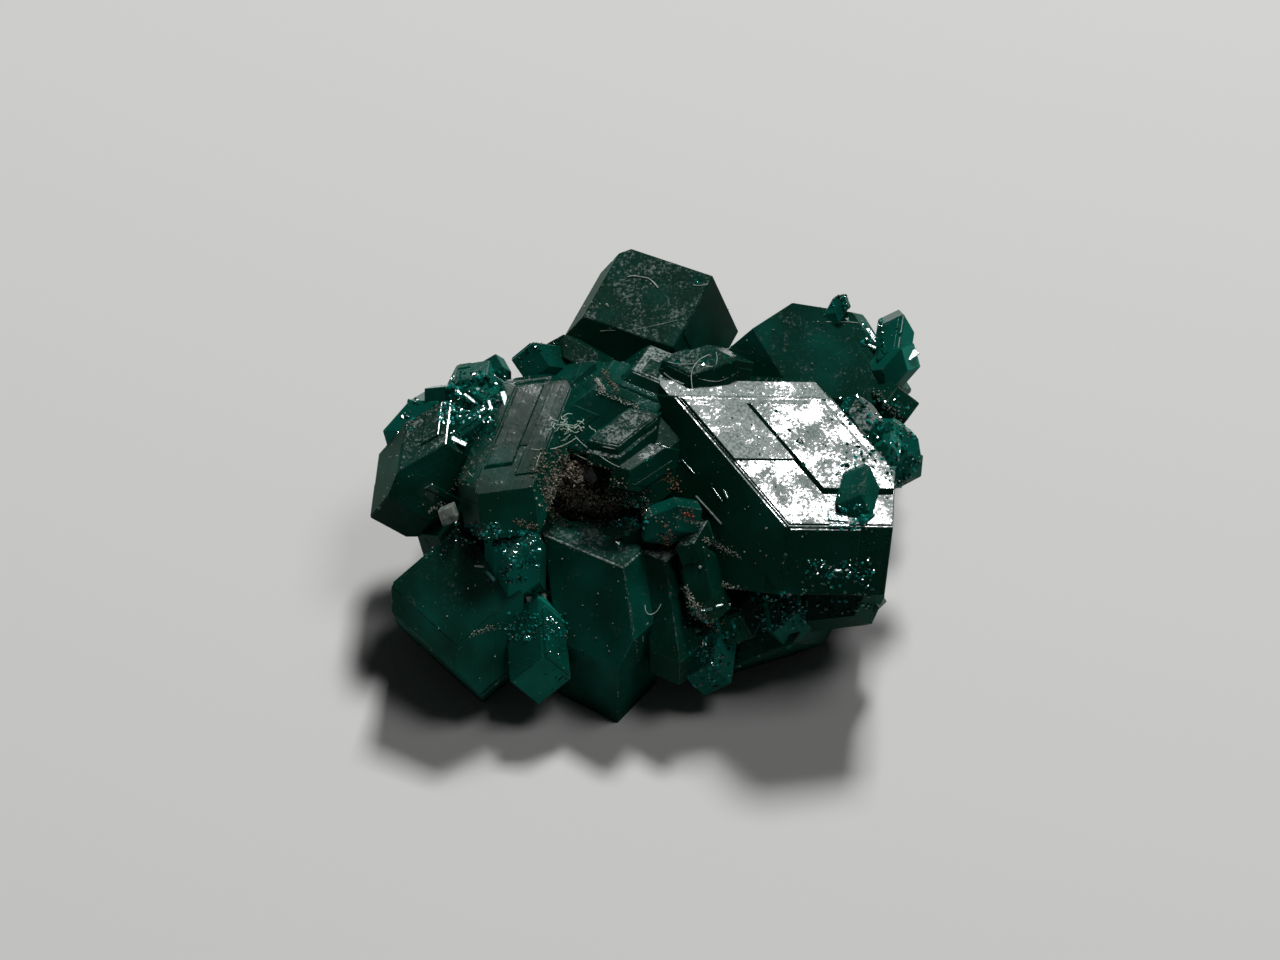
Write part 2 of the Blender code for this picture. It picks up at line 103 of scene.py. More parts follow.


# Each row: place, turn, radius, length, dust, loose growth steps, tone with painted glow, and
# what `habit` lists after them. Places and sizes are in millimetres, turns in degrees.
CRYSTALS = {
    "big_right": habit((6.2, -5.9, 9.0), (305, 95, 207), 4.0, 6.4, 0.66, 7, 0.1, SHOULDER, s0=5.7,
        s120=3.2, s240=4.7, a270=4.9, t300=4.8,
        steps=({"a330": 0.12, "a30": -0.03, "s0": -2.5, "a270": -0.3, "t300": -0.1, "film": 0.8},
               {"a330": 0.26, "a30": -1.9, "s0": -1.2, "a270": -0.4, "t300": -0.25, "film": 0.56},
               {"a330": -0.3, "t300": 0.6, "film": 0.8})),
    "back_right": habit((6.7, 8.0, 7.6), (187, 70, 135), 3.0, 3.2, 0.2, 3, 0.25, WAIST, a30=2.4,
        a90=3.4, s0=4.0, s120=3.5, t60=2.9, t180=2.6, t300=2.4,
        steps=({"a30": 0.12, "s120": -3.0, "t60": -0.5, "a90": -0.4},
               {"a90": 0.15, "a30": -0.4, "s120": -2.4, "t60": -0.6})),
    "back_right_chip": habit((8.7, 8.2, 6.9), (60, 70, 15), 0.4, 0.6, 0.1, 1, 0.6),
    "far_right_top": habit((11.2, 7.1, 5.9), (80, 70, 20), 0.75, 1.2, 0.1, 3, 0.7),
    "far_right_bright": habit((11.1, 6.0, 5.5), (40, 60, 10), 0.8, 0.7, 0.05, 2, 0.9),
    "far_right_low": habit((10.8, 4.6, 4.8), (300, 70, 35), 0.9, 1.2, 0.05, 2, 0.0),
    "right_tan": habit((9.6, 1.0, 7.6), (120, 80, 15), 0.7, 1.0, 0.6, 2, 0.3),
    "right_teal": habit((10.2, 0.6, 7.2), (30, 80, 5), 0.6, 0.8, 0.1, 2, 0.9),
    "right_faceted": habit((10.4, -0.2, 6.9), (60, 40, 25), 0.7, 0.5, 0.1, 2, 0.7),
    "right_cluster": habit((11.2, 0.7, 6.2), (100, 60, 5), 0.8, 0.6, 0.1, 2, 0.8),
    "right_cluster_low": habit((11.1, 0.1, 5.6), (20, 70, 25), 0.7, 0.6, 0.1, 2, 0.6),
    "grown_in": habit((9.1, -4.0, 8.8), (75, 80, 20), 0.8, 0.9, 0.15, 3, 0.55),
    "grown_in_small": habit((9.2, -5.2, 8.3), (10, 50, 40), 0.5, 0.3, 0.1, 2, 1.0),
    "top_crystal": habit((3.2, 8.7, 8.6), (18, 41, 59), 3.1, 2.4, 0.28, 4, 0.15, PEAK, a90=3.4,
        t60=1.9, t180=2.4, steps=({"s0": 0.15, "s120": -0.3, "s240": -0.5},)),
    "back_left_small": habit((-4.2, 5.0, 6.9), (200, 60, 10), 0.9, 0.8, 0.2, 2, 0.5),
    "back_left_dark": habit((-2.6, 5.2, 6.8), (150, 80, 14), 0.8, 1.2, 0.3, 2, 0.0),
    "long_slab": habit((-4.5, -3.6, 8.8), (253, 93, 140), 1.8, 4.2, 0.1, 6, 0.2, SHOULDER, a30=1.5,
        a90=1.7,
        steps=({"a30": 0.12, "a330": -1.0, "s0": -0.9, "s120": -0.6},
               {"a30": 0.06, "a90": -1.2, "s0": -0.5})),
    "crown_pale": habit((-0.3, 2.5, 9.4), (26, 64, 170), 1.9, 1.4, 0.6, 4, 0.2, SHOULDER, a90=2.1,
        s240=1.7, t60=1.4),
    "crown_ridge": habit((-2.0, 1.5, 9.3), (26, 64, 170), 2.2, 1.6, 0.22, 6, 0.35, SHOULDER,
        s240=2.0, steps=({"s0": 0.15, "a30": -0.5, "a330": -0.2},)),
    "crown_etched": habit((2.7, 2.6, 8.6), (20, 85, 25), 1.25, 1.2, 0.3, 6, 0.2,
        steps=({"a30": 0.15, "a90": -0.3, "s0": -0.4, "t60": -0.3},
               {"a90": 0.15, "a30": -0.3, "s120": -0.5, "t60": -0.2})),
    "crown_plate": habit((-0.9, -1.8, 9.3), (224, 94, 146), 1.0, 1.7, 0.38, 5, 0.2, SHOULDER,
        s240=1.1, steps=({"a30": -0.25, "a330": 0.15, "s0": 0.15},)),
    "crown_bar": habit((-0.4, -2.6, 8.7), (220, 91, 144), 0.8, 1.9, 0.3, 4, 0.2, SHOULDER,
        a330=0.6, s240=1.1, t60=1.0),
    "crown_root": habit((0.8, -0.2, 7.0), (224, 94, 146), 1.6, 2.4, 0.35, 2, 0.1),
    "left_crystal": habit((-8.3, -0.5, 8.0), (29, 78, 202), 2.2, 3.6, 0.36, 2, 0.1, SHOULDER,
        a90=2.0, a150=0.9, a270=2.3, a330=2.5, s0=2.8, t60=2.5, t180=1.4, t300=2.0,
        steps=({"a330": 0.1, "a30": -0.5, "t300": -0.6, "s0": -0.2},)),
    "left_druse_a": habit((-8.0, 2.4, 6.9), (170, 50, 0), 0.9, 0.9, 0.15, 3, 0.7),
    "left_druse_b": habit((-7.4, 3.0, 6.8), (60, 60, 30), 1.1, 0.8, 0.15, 3, 0.7),
    "left_druse_c": habit((-6.4, 2.4, 7.0), (310, 70, 30), 1.2, 1.1, 0.15, 3, 0.7),
    "left_druse_d": habit((-6.7, 0.6, 7.0), (20, 60, 10), 1.2, 1.4, 0.15, 3, 0.5),
    "left_druse_e": habit((-9.4, 2.0, 6.2), (40, 60, 20), 1.1, 1.0, 0.1, 2, 0.8),
    "left_round_a": habit((-7.3, 4.4, 6.2), (200, 40, 0), 0.7, 0.4, 0.2, 2, 0.4),
    "left_round_b": habit((-6.3, 4.5, 6.6), (90, 30, 30), 0.6, 0.5, 0.2, 2, 0.4),
    "lower_left": habit((-7.7, -4.0, 6.6), (89, 27, 181), 2.8, 2.6, 0.15, 8, 0.3, PEAK, t60=2.6,
        t180=1.6, t300=1.2,
        steps=({"s120": 0.15, "s0": -0.6, "s240": -1.0},
               {"s240": 0.12, "s0": -0.3, "s120": -1.2})),
    "under_left": habit((-7.4, -2.2, 4.4), (30, 50, 10), 1.3, 1.6, 0.1, 1, 0.1),
    "left_sparkle": habit((-5.3, -5.0, 5.5), (89, 35, 170), 1.2, 1.2, 0.2, 4, 0.6),
    "front_crystal": habit((-0.7, -5.7, 6.0), (99, 61, 182), 3.1, 3.3, 0.52, 1, 0.35, SHOULDER,
        a30=3.3, a90=2.1, a270=2.2, a330=2.5, s0=4.1, s120=3.5, s240=5.2, t60=2.3, t300=2.2,
        steps=({"s0": 0.1, "a330": -1.3, "a30": -1.1},)),
    "front_side": habit((1.2, -6.2, 3.9), (99, 61, 182), 1.1, 3.6, 0.6, 3, 0.2),
    "bottom_left": habit((-4.5, -7.3, 2.9), (95, 60, 10), 1.3, 1.6, 0.2, 5, 0.5,
        steps=({"a30": 0.1, "s0": -0.5}, {"a210": 0.12, "s120": -0.4})),
    "bar_crystal": habit((0.3, -3.9, 7.2), (172, 126, 164), 0.8, 1.1, 0.6, 3, 0.55, SHOULDER),
    "notch_crystal": habit((2.7, -5.8, 5.2), (100, 60, 5), 0.9, 1.4, 0.55, 3, 0.1),
    "notch_small": habit((2.4, -4.6, 6.4), (60, 75, 12), 0.6, 0.8, 0.6, 2, 0.1),
    "low_teal": habit((3.0, -7.4, 2.6), (80, 50, 15), 1.0, 1.2, 0.15, 4, 0.5),
    "low_dark": habit((4.5, -6.5, 4.0), (60, 70, 5), 0.9, 0.8, 0.2, 2, 0.0),
    "low_bright": habit((6.0, -6.3, 4.1), (100, 60, 25), 1.0, 0.9, 0.15, 3, 0.5),
    "low_right": habit((8.1, -5.9, 3.9), (5, 85, 15), 1.0, 1.9, 0.15, 3, 0.2),
    "low_right_end": habit((9.2, -5.1, 3.4), (310, 70, 5), 0.8, 1.0, 0.1, 2, 0.1),
    "base_middle": habit((0.0, -0.6, 3.2), (20, 85, 10), 4.0, 6.0, 0.3, 0, 0.1, a150=3.0, a210=2.8,
        t180=4.0),
    "base_front": habit((-2.6, -5.0, 1.8), (10, 80, 20), 2.2, 3.6, 0.1, 2, 0.3),
    "base_right": habit((6.0, -2.4, 2.6), (60, 80, 0), 3.2, 4.0, 0.1, 4, 0.2),
    "base_back": habit((2.5, 4.6, 3.2), (150, 80, 25), 3.0, 4.0, 0.15, 4, 0.3),
    "base_left": habit((-5.2, -1.0, 3.4), (100, 70, 12), 2.8, 2.8, 0.2, 2, 0.2),
    "base_back_left": habit((-3.8, 3.2, 4.6), (40, 75, 8), 2.3, 2.6, 0.2, 3, 0.4),
    "base_under_left": habit((-5.4, -4.4, 2.6), (160, 70, 22), 2.0, 2.2, 0.1, 2, 0.3),
    "base_core": habit((0.5, -0.5, 3.0), (75, 88, 8), 3.0, 6.0, 0.3, 0, 0.2),
}

ROCK_PLACE = (-0.9, -1.2, 5.3)
ROCK_SIZE = (6.8, 3.0, 5.6)
ROCK_TURN = (4, 0, 0)
ROCK_BREAK = (-0.9, -3.8, 15.2)
ROCK_BREAK_SIZE = (16.0, 16.0, 17.0)
ROCK_BREAK_TURN = (0, 14, 0)
ROCK_ROOM = 0.1
ROCK_VOXEL = 0.1
ROCK_SINK = 0.14
ROCK_SWELLS = ((1.6, 0.16), (5.0, 0.08))    # how many a millimetre, and how high
ROCK_CRYSTAL_AT = (593, 474)                # in the picture
ROCK_CRYSTAL_TURN = (30, 35, 10)
GRAIN_PLACE = (-8.1, -3.6, 7.1)
GRAIN_SIZE = (1.2, 0.8, 0.7)
GRAIN_LEAN = 0.3
GRAIN_FACES = {"a30": 0.3, "a210": 0.36, "s120": 0.4, "t180": 0.5}

# What a face's dust, its dullness with painted shade, and its painted shade below follow: how far
# it looks up, or down.
LOOKS_UP = (0.82, 0.98)
STEEP = (-0.72, -0.5)
LOOKS_DOWN = (-0.45, 0.1)

# Growth steps added by chance.
SEEN_FROM, TOP_FROM = 0.1, 0.3     # a face counts where it looks at the viewer or up this much
STEP_PROUD = (0.02, 0.06)
STEP_SHORT_FACES = 4
STEP_SHORT = (0.05, 0.8)           # share of the face's distance
STEP_FILM = (0.4, 1.3)             # share of the crystal's dust
WIDEST_WEAR = 0.05                 # share of the radius
STEP_WEAR, LOOSE_WEAR = 0.5, 0.3   # share of the crystal's own wear

# Chips and pits: widths in mm, how far a chip's middle stands proud, and its sides by its width.
CHIP_WIDTH, CHIP_SPREAD, WIDEST_CHIP = 0.07, 11.0, 0.42
PIT_WIDTH, PIT_SPREAD = 0.05, 18.0
CHIP_PROUD = 0.12
CHIP_SIDES = ((0.8, 1.6), (0.6, 1.0), (0.5, 0.9))
CHIP_LEAN = 0.5
CHIP_TONES, CHIP_FRESH = (0.2, 0.9), (0.3, 1.0)
CORNER_WEIGHT = 0.05               # least pull of each corner of a worn edge on a chip's place
PIT_FLOOR = 0.5                    # pits lie higher than this, in mm

GROUND_SIZE = 60.0                 # what lies below the floor is cut away
TRIES = 6                          # places tried for each one wanted

# Patterns: a small crystal's radius, length and the spread of its faces, and a grain's corners.
PATTERN_RADIUS, PATTERN_LENGTHS, PATTERN_FACES = 0.32, (0.2, 0.5), (0.8, 1.15)
GRAIN_CORNERS = (0.65, 1.15)

# The druse all round the foot, and how the small crystals sit.
NOOKS, IN_A_NOOK, NOOK_REACH = 26, 60, 0.9
NOOK_TOP, NOOK_FRONT, NOOK_FACING = 6.0, -6.0, -0.3   # nooks are below, behind and no lower faced
NOOK_FLOOR = 0.4
# The nook druse's tone is a painted glow too.
NOOK_SIZES, NOOK_GLINTS, NOOK_PAINTED_GLOW = (0.08, 0.3), 0.1, 0.3
DRUSE_SUNK = 0.18
DRUSE_LEAN = (0.2, 1.4)
DRUSE_TONES = 0.3
GLINT_TILT = 0.035
GLINT_SIZE = 0.85

# Flakes and fluff, in mm.
FLAKE_THICK, FLAKE_LIFT, FLAKE_BEVEL = 0.09, 0.02, 0.03
WIDEST_BEVEL = 0.3                 # share of the flake's width
THREAD_RAISED = (0.15, 0.85)       # the part of a thread that stands off the surface
THREAD_LIFT = 0.25                 # share of its thickness
FLUFF_THICK, FLUFF_STEP, FLUFF_STEPS = 0.04, 0.14, 4
FLUFF_LIFT = (0.03, 0.3)
FLUFF_CURL = 1.1                   # how far each step turns, in radians
FLUFF_FLAT, FLUFF_RISE = 0.8, 0.35

# Bits that lie about everywhere, their sizes in mm, and how each bit sits.
STRAY_BITS = (("pale", 700), ("sand", 500))
BIT_SIZE, BIT_SPREAD = 0.03, 35.0
BIT_SIDES = (0.6, 1.0)
BIT_LIFT = 0.2                     # share of its size
BIT_LEAN = (0.0, 3.0)
BIT_FACING, BIT_FLOOR = 0.25, 0.3

# Druse: picture zone (left, top, right, bottom), crystals, size range in mm, share that glints,
# and how bright a teal they are painted, a painted glow of light shining through them.
DRUSE = (
    ((400, 382, 420, 432), 40, (0.12, 0.3), 0.05, 0.3),
    ((448, 372, 505, 404), 150, (0.10, 0.34), 0.15, 0.4),
    ((440, 402, 492, 424), 150, (0.08, 0.26), 0.4, 0.9),
    ((450, 424, 496, 440), 50, (0.08, 0.22), 0.1, 0.3),
    ((612, 498, 648, 528), 150, (0.08, 0.24), 0.05, 0.75),
    ((455, 522, 500, 545), 150, (0.08, 0.24), 0.5, 0.6),
    ((495, 530, 540, 570), 190, (0.08, 0.26), 0.45, 0.8),
    ((500, 560, 530, 585), 60, (0.08, 0.22), 0.15, 0.5),
    ((425, 535, 450, 560), 40, (0.05, 0.14), 0.2, 0.4),
    ((505, 612, 568, 640), 150, (0.06, 0.22), 0.15, 0.7),
    ((545, 620, 570, 700), 40, (0.06, 0.16), 0.1, 0.4),
    ((688, 607, 740, 690), 230, (0.08, 0.3), 0.25, 0.5),
    ((752, 592, 806, 630), 150, (0.08, 0.26), 0.2, 0.7),
    ((800, 570, 876, 612), 90, (0.08, 0.26), 0.12, 0.3),
    ((806, 560, 872, 578), 110, (0.06, 0.2), 0.25, 0.5),
    ((840, 396, 905, 470), 130, (0.10, 0.32), 0.12, 0.5),
    ((886, 425, 926, 486), 110, (0.10, 0.3), 0.08, 0.5),
    ((822, 292, 870, 308), 60, (0.10, 0.26), 0.05, 0.5),
    ((862, 318, 884, 350), 60, (0.08, 0.26), 0.25, 0.5),
    ((838, 505, 868, 530), 60, (0.08, 0.24), 0.2, 0.8),
    ((518, 338, 560, 352), 30, (0.08, 0.2), 0.05, 0.3),
)

# Loose bits: picture line (from, to), spread in pixels, count, size range in mm, kind of bit.
CRUMBS = (
    ((552, 468), (600, 500), 14, 1300, (0.05, 0.16), "sand"),
    ((545, 485), (560, 520), 5, 300, (0.04, 0.13), "sand"),
    ((612, 500), (648, 512), 9, 200, (0.05, 0.14), "sand"),
    ((585, 505), (620, 515), 5, 120, (0.05, 0.16), "pale"),
    ((664, 478), (681, 488), 4, 55, (0.05, 0.15), "rust"),
    ((661, 537), (673, 546), 3, 40, (0.05, 0.15), "rust"),
    ((666, 520), (676, 552), 3, 70, (0.05, 0.14), "sand"),
    ((682, 512), (694, 517), 1.5, 26, (0.06, 0.14), "red"),
    ((704, 538), (739, 557), 1.6, 130, (0.03, 0.08), "pale"),
    ((674, 516), (700, 524), 1.4, 70, (0.03, 0.08), "pale"),
    ((684, 586), (702, 618), 2.5, 150, (0.04, 0.1), "pale"),
    ((690, 610), (716, 626), 5, 120, (0.05, 0.12), "sand"),
    ((722, 584), (745, 590), 1.5, 40, (0.05, 0.12), "pale"),
    ((596, 378), (604, 392), 1.5, 60, (0.06, 0.15), "pale"),
    ((604, 372), (618, 392), 2.0, 60, (0.05, 0.13), "sand"),
    ((598, 392), (640, 408), 1.2, 70, (0.05, 0.1), "pale"),
    ((560, 385), (570, 470), 1.0, 60, (0.04, 0.09), "pale"),
    ((876, 390), (906, 430), 3.0, 90, (0.04, 0.1), "pale"),
    ((429, 511), (445, 503), 1.5, 34, (0.05, 0.12), "pale"),
    ((471, 635), (502, 624), 1.8, 50, (0.05, 0.11), "pale"),
    ((540, 534), (621, 566), 1.2, 60, (0.02, 0.06), "pale"),
    ((623, 567), (638, 660), 0.8, 90, (0.02, 0.05), "pale"),
    ((515, 521), (537, 527), 2.0, 60, (0.05, 0.12), "sand"),
    ((452, 490), (500, 440), 4.0, 120, (0.04, 0.1), "sand"),
)

# Thin flakes: picture line (from, to), width in mm, kind; a "glint" faces the softbox.
FLAKES = (
    ((450, 436), (466, 447), 0.26, "glint"),
    ((524, 600), (548, 588), 0.75, "pale"),
    ((682, 460), (694, 474), 0.05, "glint"),
    ((712, 486), (722, 503), 0.05, "glint"),
    ((724, 487), (727, 500), 0.10, "glint"),
    ((696, 496), (722, 524), 0.09, "pale"),
    ((700, 611), (711, 608), 0.2, "glint"),
    ((715, 607), (723, 604), 0.18, "glint"),
    ((834, 571), (842, 571), 0.14, "glint"),
    ((828, 516), (848, 518), 0.5, "glint"),
    ((829, 526), (850, 526), 0.14, "glint"),
    ((908, 357), (916, 354), 0.35, "glint"),
    ((486, 570), (494, 582), 0.16, "glint"),
    ((474, 566), (484, 567), 0.08, "pale"),
    ((482, 544), (492, 548), 0.2, "glint"),
    ((502, 398), (510, 410), 0.26, "glint"),
    ((488, 404), (494, 412), 0.16, "glint"),
    ((464, 396), (476, 402), 0.16, "glint"),
    ((867, 332), (877, 340), 0.22, "glint"),
    ((868, 345), (876, 349), 0.16, "glint"),
    ((449, 380), (456, 388), 0.36, "glint"),
    ((695, 625), (698, 633), 0.26, "glint"),
    ((619, 250), (624, 254), 0.24, "glint"),
)

# Threads: points in the picture, thickness and height above the surface in mm, kind.
THREADS = (
    (((576, 438), (563, 448), (546, 452), (531, 449)), 0.028, 0.30, "lint"),
    (((541, 453), (538, 458), (536, 467)), 0.022, 0.2, "lint"),
    (((575, 436), (583, 446), (599, 454), (609, 463), (619, 467)), 0.028, 0.30, "lint"),
    (((573, 453), (583, 459), (599, 464)), 0.022, 0.2, "lint"),
    (((730, 348), (716, 352), (700, 357), (692, 368), (690, 380), (695, 400), (688, 410)),
     0.026, 0.2, "lint"),
    (((716, 352), (719, 360), (714, 370)), 0.020, 0.1, "lint"),
    (((645, 605), (645, 614), (652, 616), (658, 611), (661, 604)), 0.032, 0.04, "lint"),
    (((643, 636), (643, 652), (642, 628), (648, 623)), 0.05, 0.0, "scar"),
    (((466, 468), (470, 476), (478, 480)), 0.022, 0.15, "lint"),
    (((628, 277), (635, 275), (642, 279), (650, 277), (658, 288)), 0.085, 0.0, "scar"),
    (((693, 285), (700, 287), (708, 284)), 0.06, 0.0, "scar"),
    (((600, 331), (612, 330), (628, 331), (646, 328), (678, 320)), 0.03, 0.0, "scar"),
    (((826, 322), (842, 321), (858, 323)), 0.05, 0.0, "scar"),
    (((664, 373), (672, 381), (684, 384)), 0.05, 0.0, "scar"),
    (((666, 356), (680, 352), (700, 350), (720, 350), (736, 356)), 0.04, 0.0, "scar"),
    (((668, 362), (680, 366), (694, 362), (706, 368), (720, 366), (738, 376)), 0.05, 0.0, "scar"),
    (((690, 376), (704, 380), (718, 384), (728, 378), (738, 372)), 0.04, 0.0, "scar"),
)
FLUFF = ((567, 426), 34, (6.75, 4.0))   # middle in the picture, threads, spread in pixels

# Pits: place in the picture and width in mm.
PITS = (
    ((573, 521), 0.62), ((581, 524), 0.45), ((580, 534), 0.30), ((609, 538), 0.42),
    ((620, 544), 0.5), ((614, 548), 0.4), ((592, 541), 0.25), ((602, 529), 0.2),
    ((676, 362), 0.42), ((690, 365), 0.36), ((704, 362), 0.46), ((716, 359), 0.36),
    ((727, 356), 0.42), ((731, 362), 0.3), ((700, 379), 0.26), ((717, 541), 0.5),
    ((698, 281), 0.4), ((642, 282), 0.34), ((652, 281), 0.3), ((724, 298), 0.3),
    ((596, 490), 0.7), ((584, 491), 0.7), ((572, 490), 0.6), ((846, 318), 0.35),
    ((860, 312), 0.3), ((776, 411), 0.24), ((789, 430), 0.3), ((799, 441), 0.34),
    ((758, 437), 0.2), ((741, 461), 0.16), ((775, 461), 0.2), ((820, 502), 0.16),
    ((848, 466), 0.24), ((838, 474), 0.3), ((826, 446), 0.16), ((832, 420), 0.2),
)

# Colours of loose bits, darkest first, from the record's sandy rock and pale mineral.
BIT_COLOURS = {
    "sand": ((0.03, 0.028, 0.02), (0.12, 0.10, 0.07), (0.26, 0.22, 0.16), (0.42, 0.38, 0.31)),
    "pale": ((0.14, 0.16, 0.13), (0.28, 0.31, 0.26), (0.42, 0.45, 0.38), (0.62, 0.64, 0.58)),
    "rust": ((0.10, 0.05, 0.03), (0.30, 0.14, 0.07), (0.52, 0.32, 0.20), (0.60, 0.48, 0.36)),
    "red": ((0.12, 0.01, 0.008), (0.30, 0.03, 0.02), (0.42, 0.10, 0.06), (0.45, 0.25, 0.18)),
}


def toward(compass, height):
    """The unit vector at a compass angle from +Y towards +X and a height above the floor."""
    compass, height = math.radians(compass), math.radians(height)
    return Vector((math.sin(compass) * math.cos(height), math.cos(compass) * math.cos(height),
                   math.sin(height)))


TO_VIEWER = toward(180.0, VIEW_HEIGHT)
GLINT = (TO_VIEWER + toward(*SOFTBOX_AT)).normalized()   # normal that mirrors the softbox


# Helpers for the shader maths.

class Value:
    """A number that changes over a surface; arithmetic on it adds its Math nodes."""

    def __init__(self, graph, socket):
        self.graph = graph
        self.socket = socket

    def math(self, operation, first, second):
        return self.graph.add("ShaderNodeMath", {"operation": operation}, {0: first, 1: second})

    def __add__(self, other):
        return self.math("ADD", self, other)

    __radd__ = __add__

    def __sub__(self, other):
        return self.math("SUBTRACT", self, other)

    def __rsub__(self, other):
        return self.math("SUBTRACT", other, self)

    def __mul__(self, other):
        return self.math("MULTIPLY", self, other)

    __rmul__ = __mul__

    def at_most(self, other):
        return self.math("MINIMUM", self, other)

    def at_least(self, other):
        return self.math("MAXIMUM", self, other)

    def ramp(self, low, high):
        """Rises smoothly from 0 at `low` to 1 at `high`."""
        return self.graph.add(
            "ShaderNodeMapRange", {"interpolation_type": "SMOOTHSTEP"},
            {"Value": self, "From Min": low, "From Max": high})


class Graph:
    """The nodes of one material."""

    def __init__(self, name):
        self.material = bpy.data.materials.new(name)
        self.material.use_nodes = True
        self.tree = self.material.node_tree
        self.tree.nodes.clear()
        self.out = self.tree.nodes.new("ShaderNodeOutputMaterial")
        place = self.add("ShaderNodeTexCoord", output="Object")
        self.place = self.add("ShaderNodeVectorMath", {"operation": "SCALE"},
                              {0: place, "Scale": 1 / MM})

    def add(self, kind, settings=None, sockets=None, output=0):
        made = self.tree.nodes.new(kind)
        for name, value in (settings or {}).items():
            if name == "stops":
                self.set_stops(made.color_ramp, value)
            else:
                setattr(made, name, value)
        for name, value in (sockets or {}).items():
            if isinstance(value, Value):
                self.tree.links.new(value.socket, made.inputs[name])
            else:
                made.inputs[name].default_value = value
        return Value(self, made.outputs[output])

    def set_stops(self, ramp, stops):
        while len(ramp.elements) < len(stops):
            ramp.elements.new(0.5)
        for element, (position, colour) in zip(ramp.elements, stops):
            element.position = position
            element.color = (*colour, 1.0)

    def noise(self, scale, detail=2.0, roughness=0.5, distortion=0.0):
        return self.add("ShaderNodeTexNoise", {},
                        {"Vector": self.place, "Scale": scale, "Detail": detail,
                         "Roughness": roughness, "Distortion": distortion})

    def cells(self, scale, output="Distance"):
        return self.add("ShaderNodeTexVoronoi", {}, {"Vector": self.place, "Scale": scale},
                        output)

    def attribute(self, name, output="Fac"):
        return self.add("ShaderNodeAttribute", {"attribute_name": name}, {}, output)

    def mix(self, factor, first, second):
        """Blends two colours."""
        return self.add("ShaderNodeMix", {"data_type": "RGBA"}, {0: factor, 6: first, 7: second},
                        2)

    def stops(self, value, *stops):
        """The colour at a value along a row of colours."""
        return self.add("ShaderNodeValToRGB", {"stops": stops}, {0: value})

    def over(self, mask, below, above):
        """One surface over another where the mask is 1."""
        return self.add("ShaderNodeMixShader", {}, {0: mask, 1: below, 2: above})

    def bump(self, height, distance, strength=1.0):
        return self.add("ShaderNodeBump", {},
                        {"Height": height, "Distance": distance * MM, "Strength": strength})

    def principled(self, **sockets):
        return self.add("ShaderNodeBsdfPrincipled", {},
                        {name.replace("_", " "): value for name, value in sockets.items()})

    def finish(self, surface, volume=None):
        self.tree.links.new(surface.socket, self.out.inputs["Surface"])
        if volume:
            self.tree.links.new(volume.socket, self.out.inputs["Volume"])
        return self.material


def colour(red, green, blue):
    return (red, green, blue, 1.0)


CRYSTAL_IOR = 1.66
BLACK = (0.0, 0.0, 0.0)
DARK_DUST, PALE_DUST = (0.03, 0.075, 0.065), (0.52, 0.58, 0.56)
MOST_DUST = 0.98
LINES_A_MM = 4.5        # growth lines
GRIT_A_MM = 7.0


def dioptase_material(settings):
    """Murky green crystal; faces carry dust, wear, dullness and painted shade, tone with painted
    glow, and the way their lines run.
    """
    graph = Graph("dioptase")
    dust, wear, fresh, dull, under = (
        graph.attribute(name) for name in ("dust", "wear", "fresh", "dull", "under"))
    clouds = graph.noise(0.45, 2.0, 0.5)
    patches = graph.noise(0.75, 9.0, 0.7, 0.4)
    grit = graph.noise(GRIT_A_MM, 5.0, 0.7)
    across = graph.add("ShaderNodeVectorMath", {"operation": "DOT_PRODUCT"},
                       {0: graph.place, 1: graph.attribute("grain", "Vector")}, "Value")
    lines = graph.add("ShaderNodeTexNoise", {"noise_dimensions": "1D"},
                      {"W": across, "Scale": LINES_A_MM, "Detail": 4.0, "Roughness": 0.75})
    specks = (0.15 - graph.cells(5.0)).ramp(0.0, 0.05) * graph.noise(1.3, 2.0).ramp(0.48, 0.6)
    # Dust gathers in patches that break up into grit, and rubs off at worn edges.
    covered = (dust * 1.3 + patches * 2.6 + grit * 2.4 - 2.85).ramp(0.0, 0.6)
    covered = (covered * (dust + 0.45).at_most(MOST_DUST)).at_least(dust * grit * 0.4)
    edge = wear * (patches + grit * 0.4 - 0.68).ramp(0.0, 0.2) * 0.5
    mask = covered.at_least(edge).at_least(specks * 0.5).at_most(MOST_DUST) * (1.0 - fresh)
    # The clear crystal is lighter in clouds; tone adds painted glow, and fresh chips a painted
    # sparkle.
    tone = graph.attribute("tone") + (clouds - 0.5) * 1.1 + fresh * 0.4
    tint = graph.mix(tone.ramp(0.0, 1.0), colour(*settings.deep_green),
                     colour(*settings.bright_green))
    relief = graph.bump(lines * 0.8 + graph.noise(2.6, 4.0) * 0.5 + grit * 0.12, 0.02, 0.2)
    body = graph.principled(
        Base_Color=tint, Roughness=0.05 + 0.25 * covered + 0.06 * patches, IOR=CRYSTAL_IOR,
        Transmission_Weight=0.85, Specular_IOR_Level=0.13, Normal=relief)
    powder = graph.mix(grit.ramp(0.3, 0.7) * (dust + 0.1), colour(*DARK_DUST),
                       colour(*PALE_DUST))
    coat = graph.principled(Base_Color=powder, Roughness=0.8, IOR=1.4,
                            Normal=graph.bump(grit, 0.02, 0.6))
    # Steep faces are duller and painted darker as shade, with more painted shade where they look
    # down.
    shaded = graph.principled(Base_Color=graph.mix(0.34 - under * 0.18, colour(*BLACK), tint),
                              Roughness=0.55, Specular_IOR_Level=0.06, Normal=relief)
    surface = graph.over(mask, graph.over(dull, body, shaded), coat)
    depth = graph.add("ShaderNodeVolumeAbsorption", {},
                      {"Color": colour(*settings.seen_through), "Density": settings.murk / MM})
    return graph.finish(surface, depth)


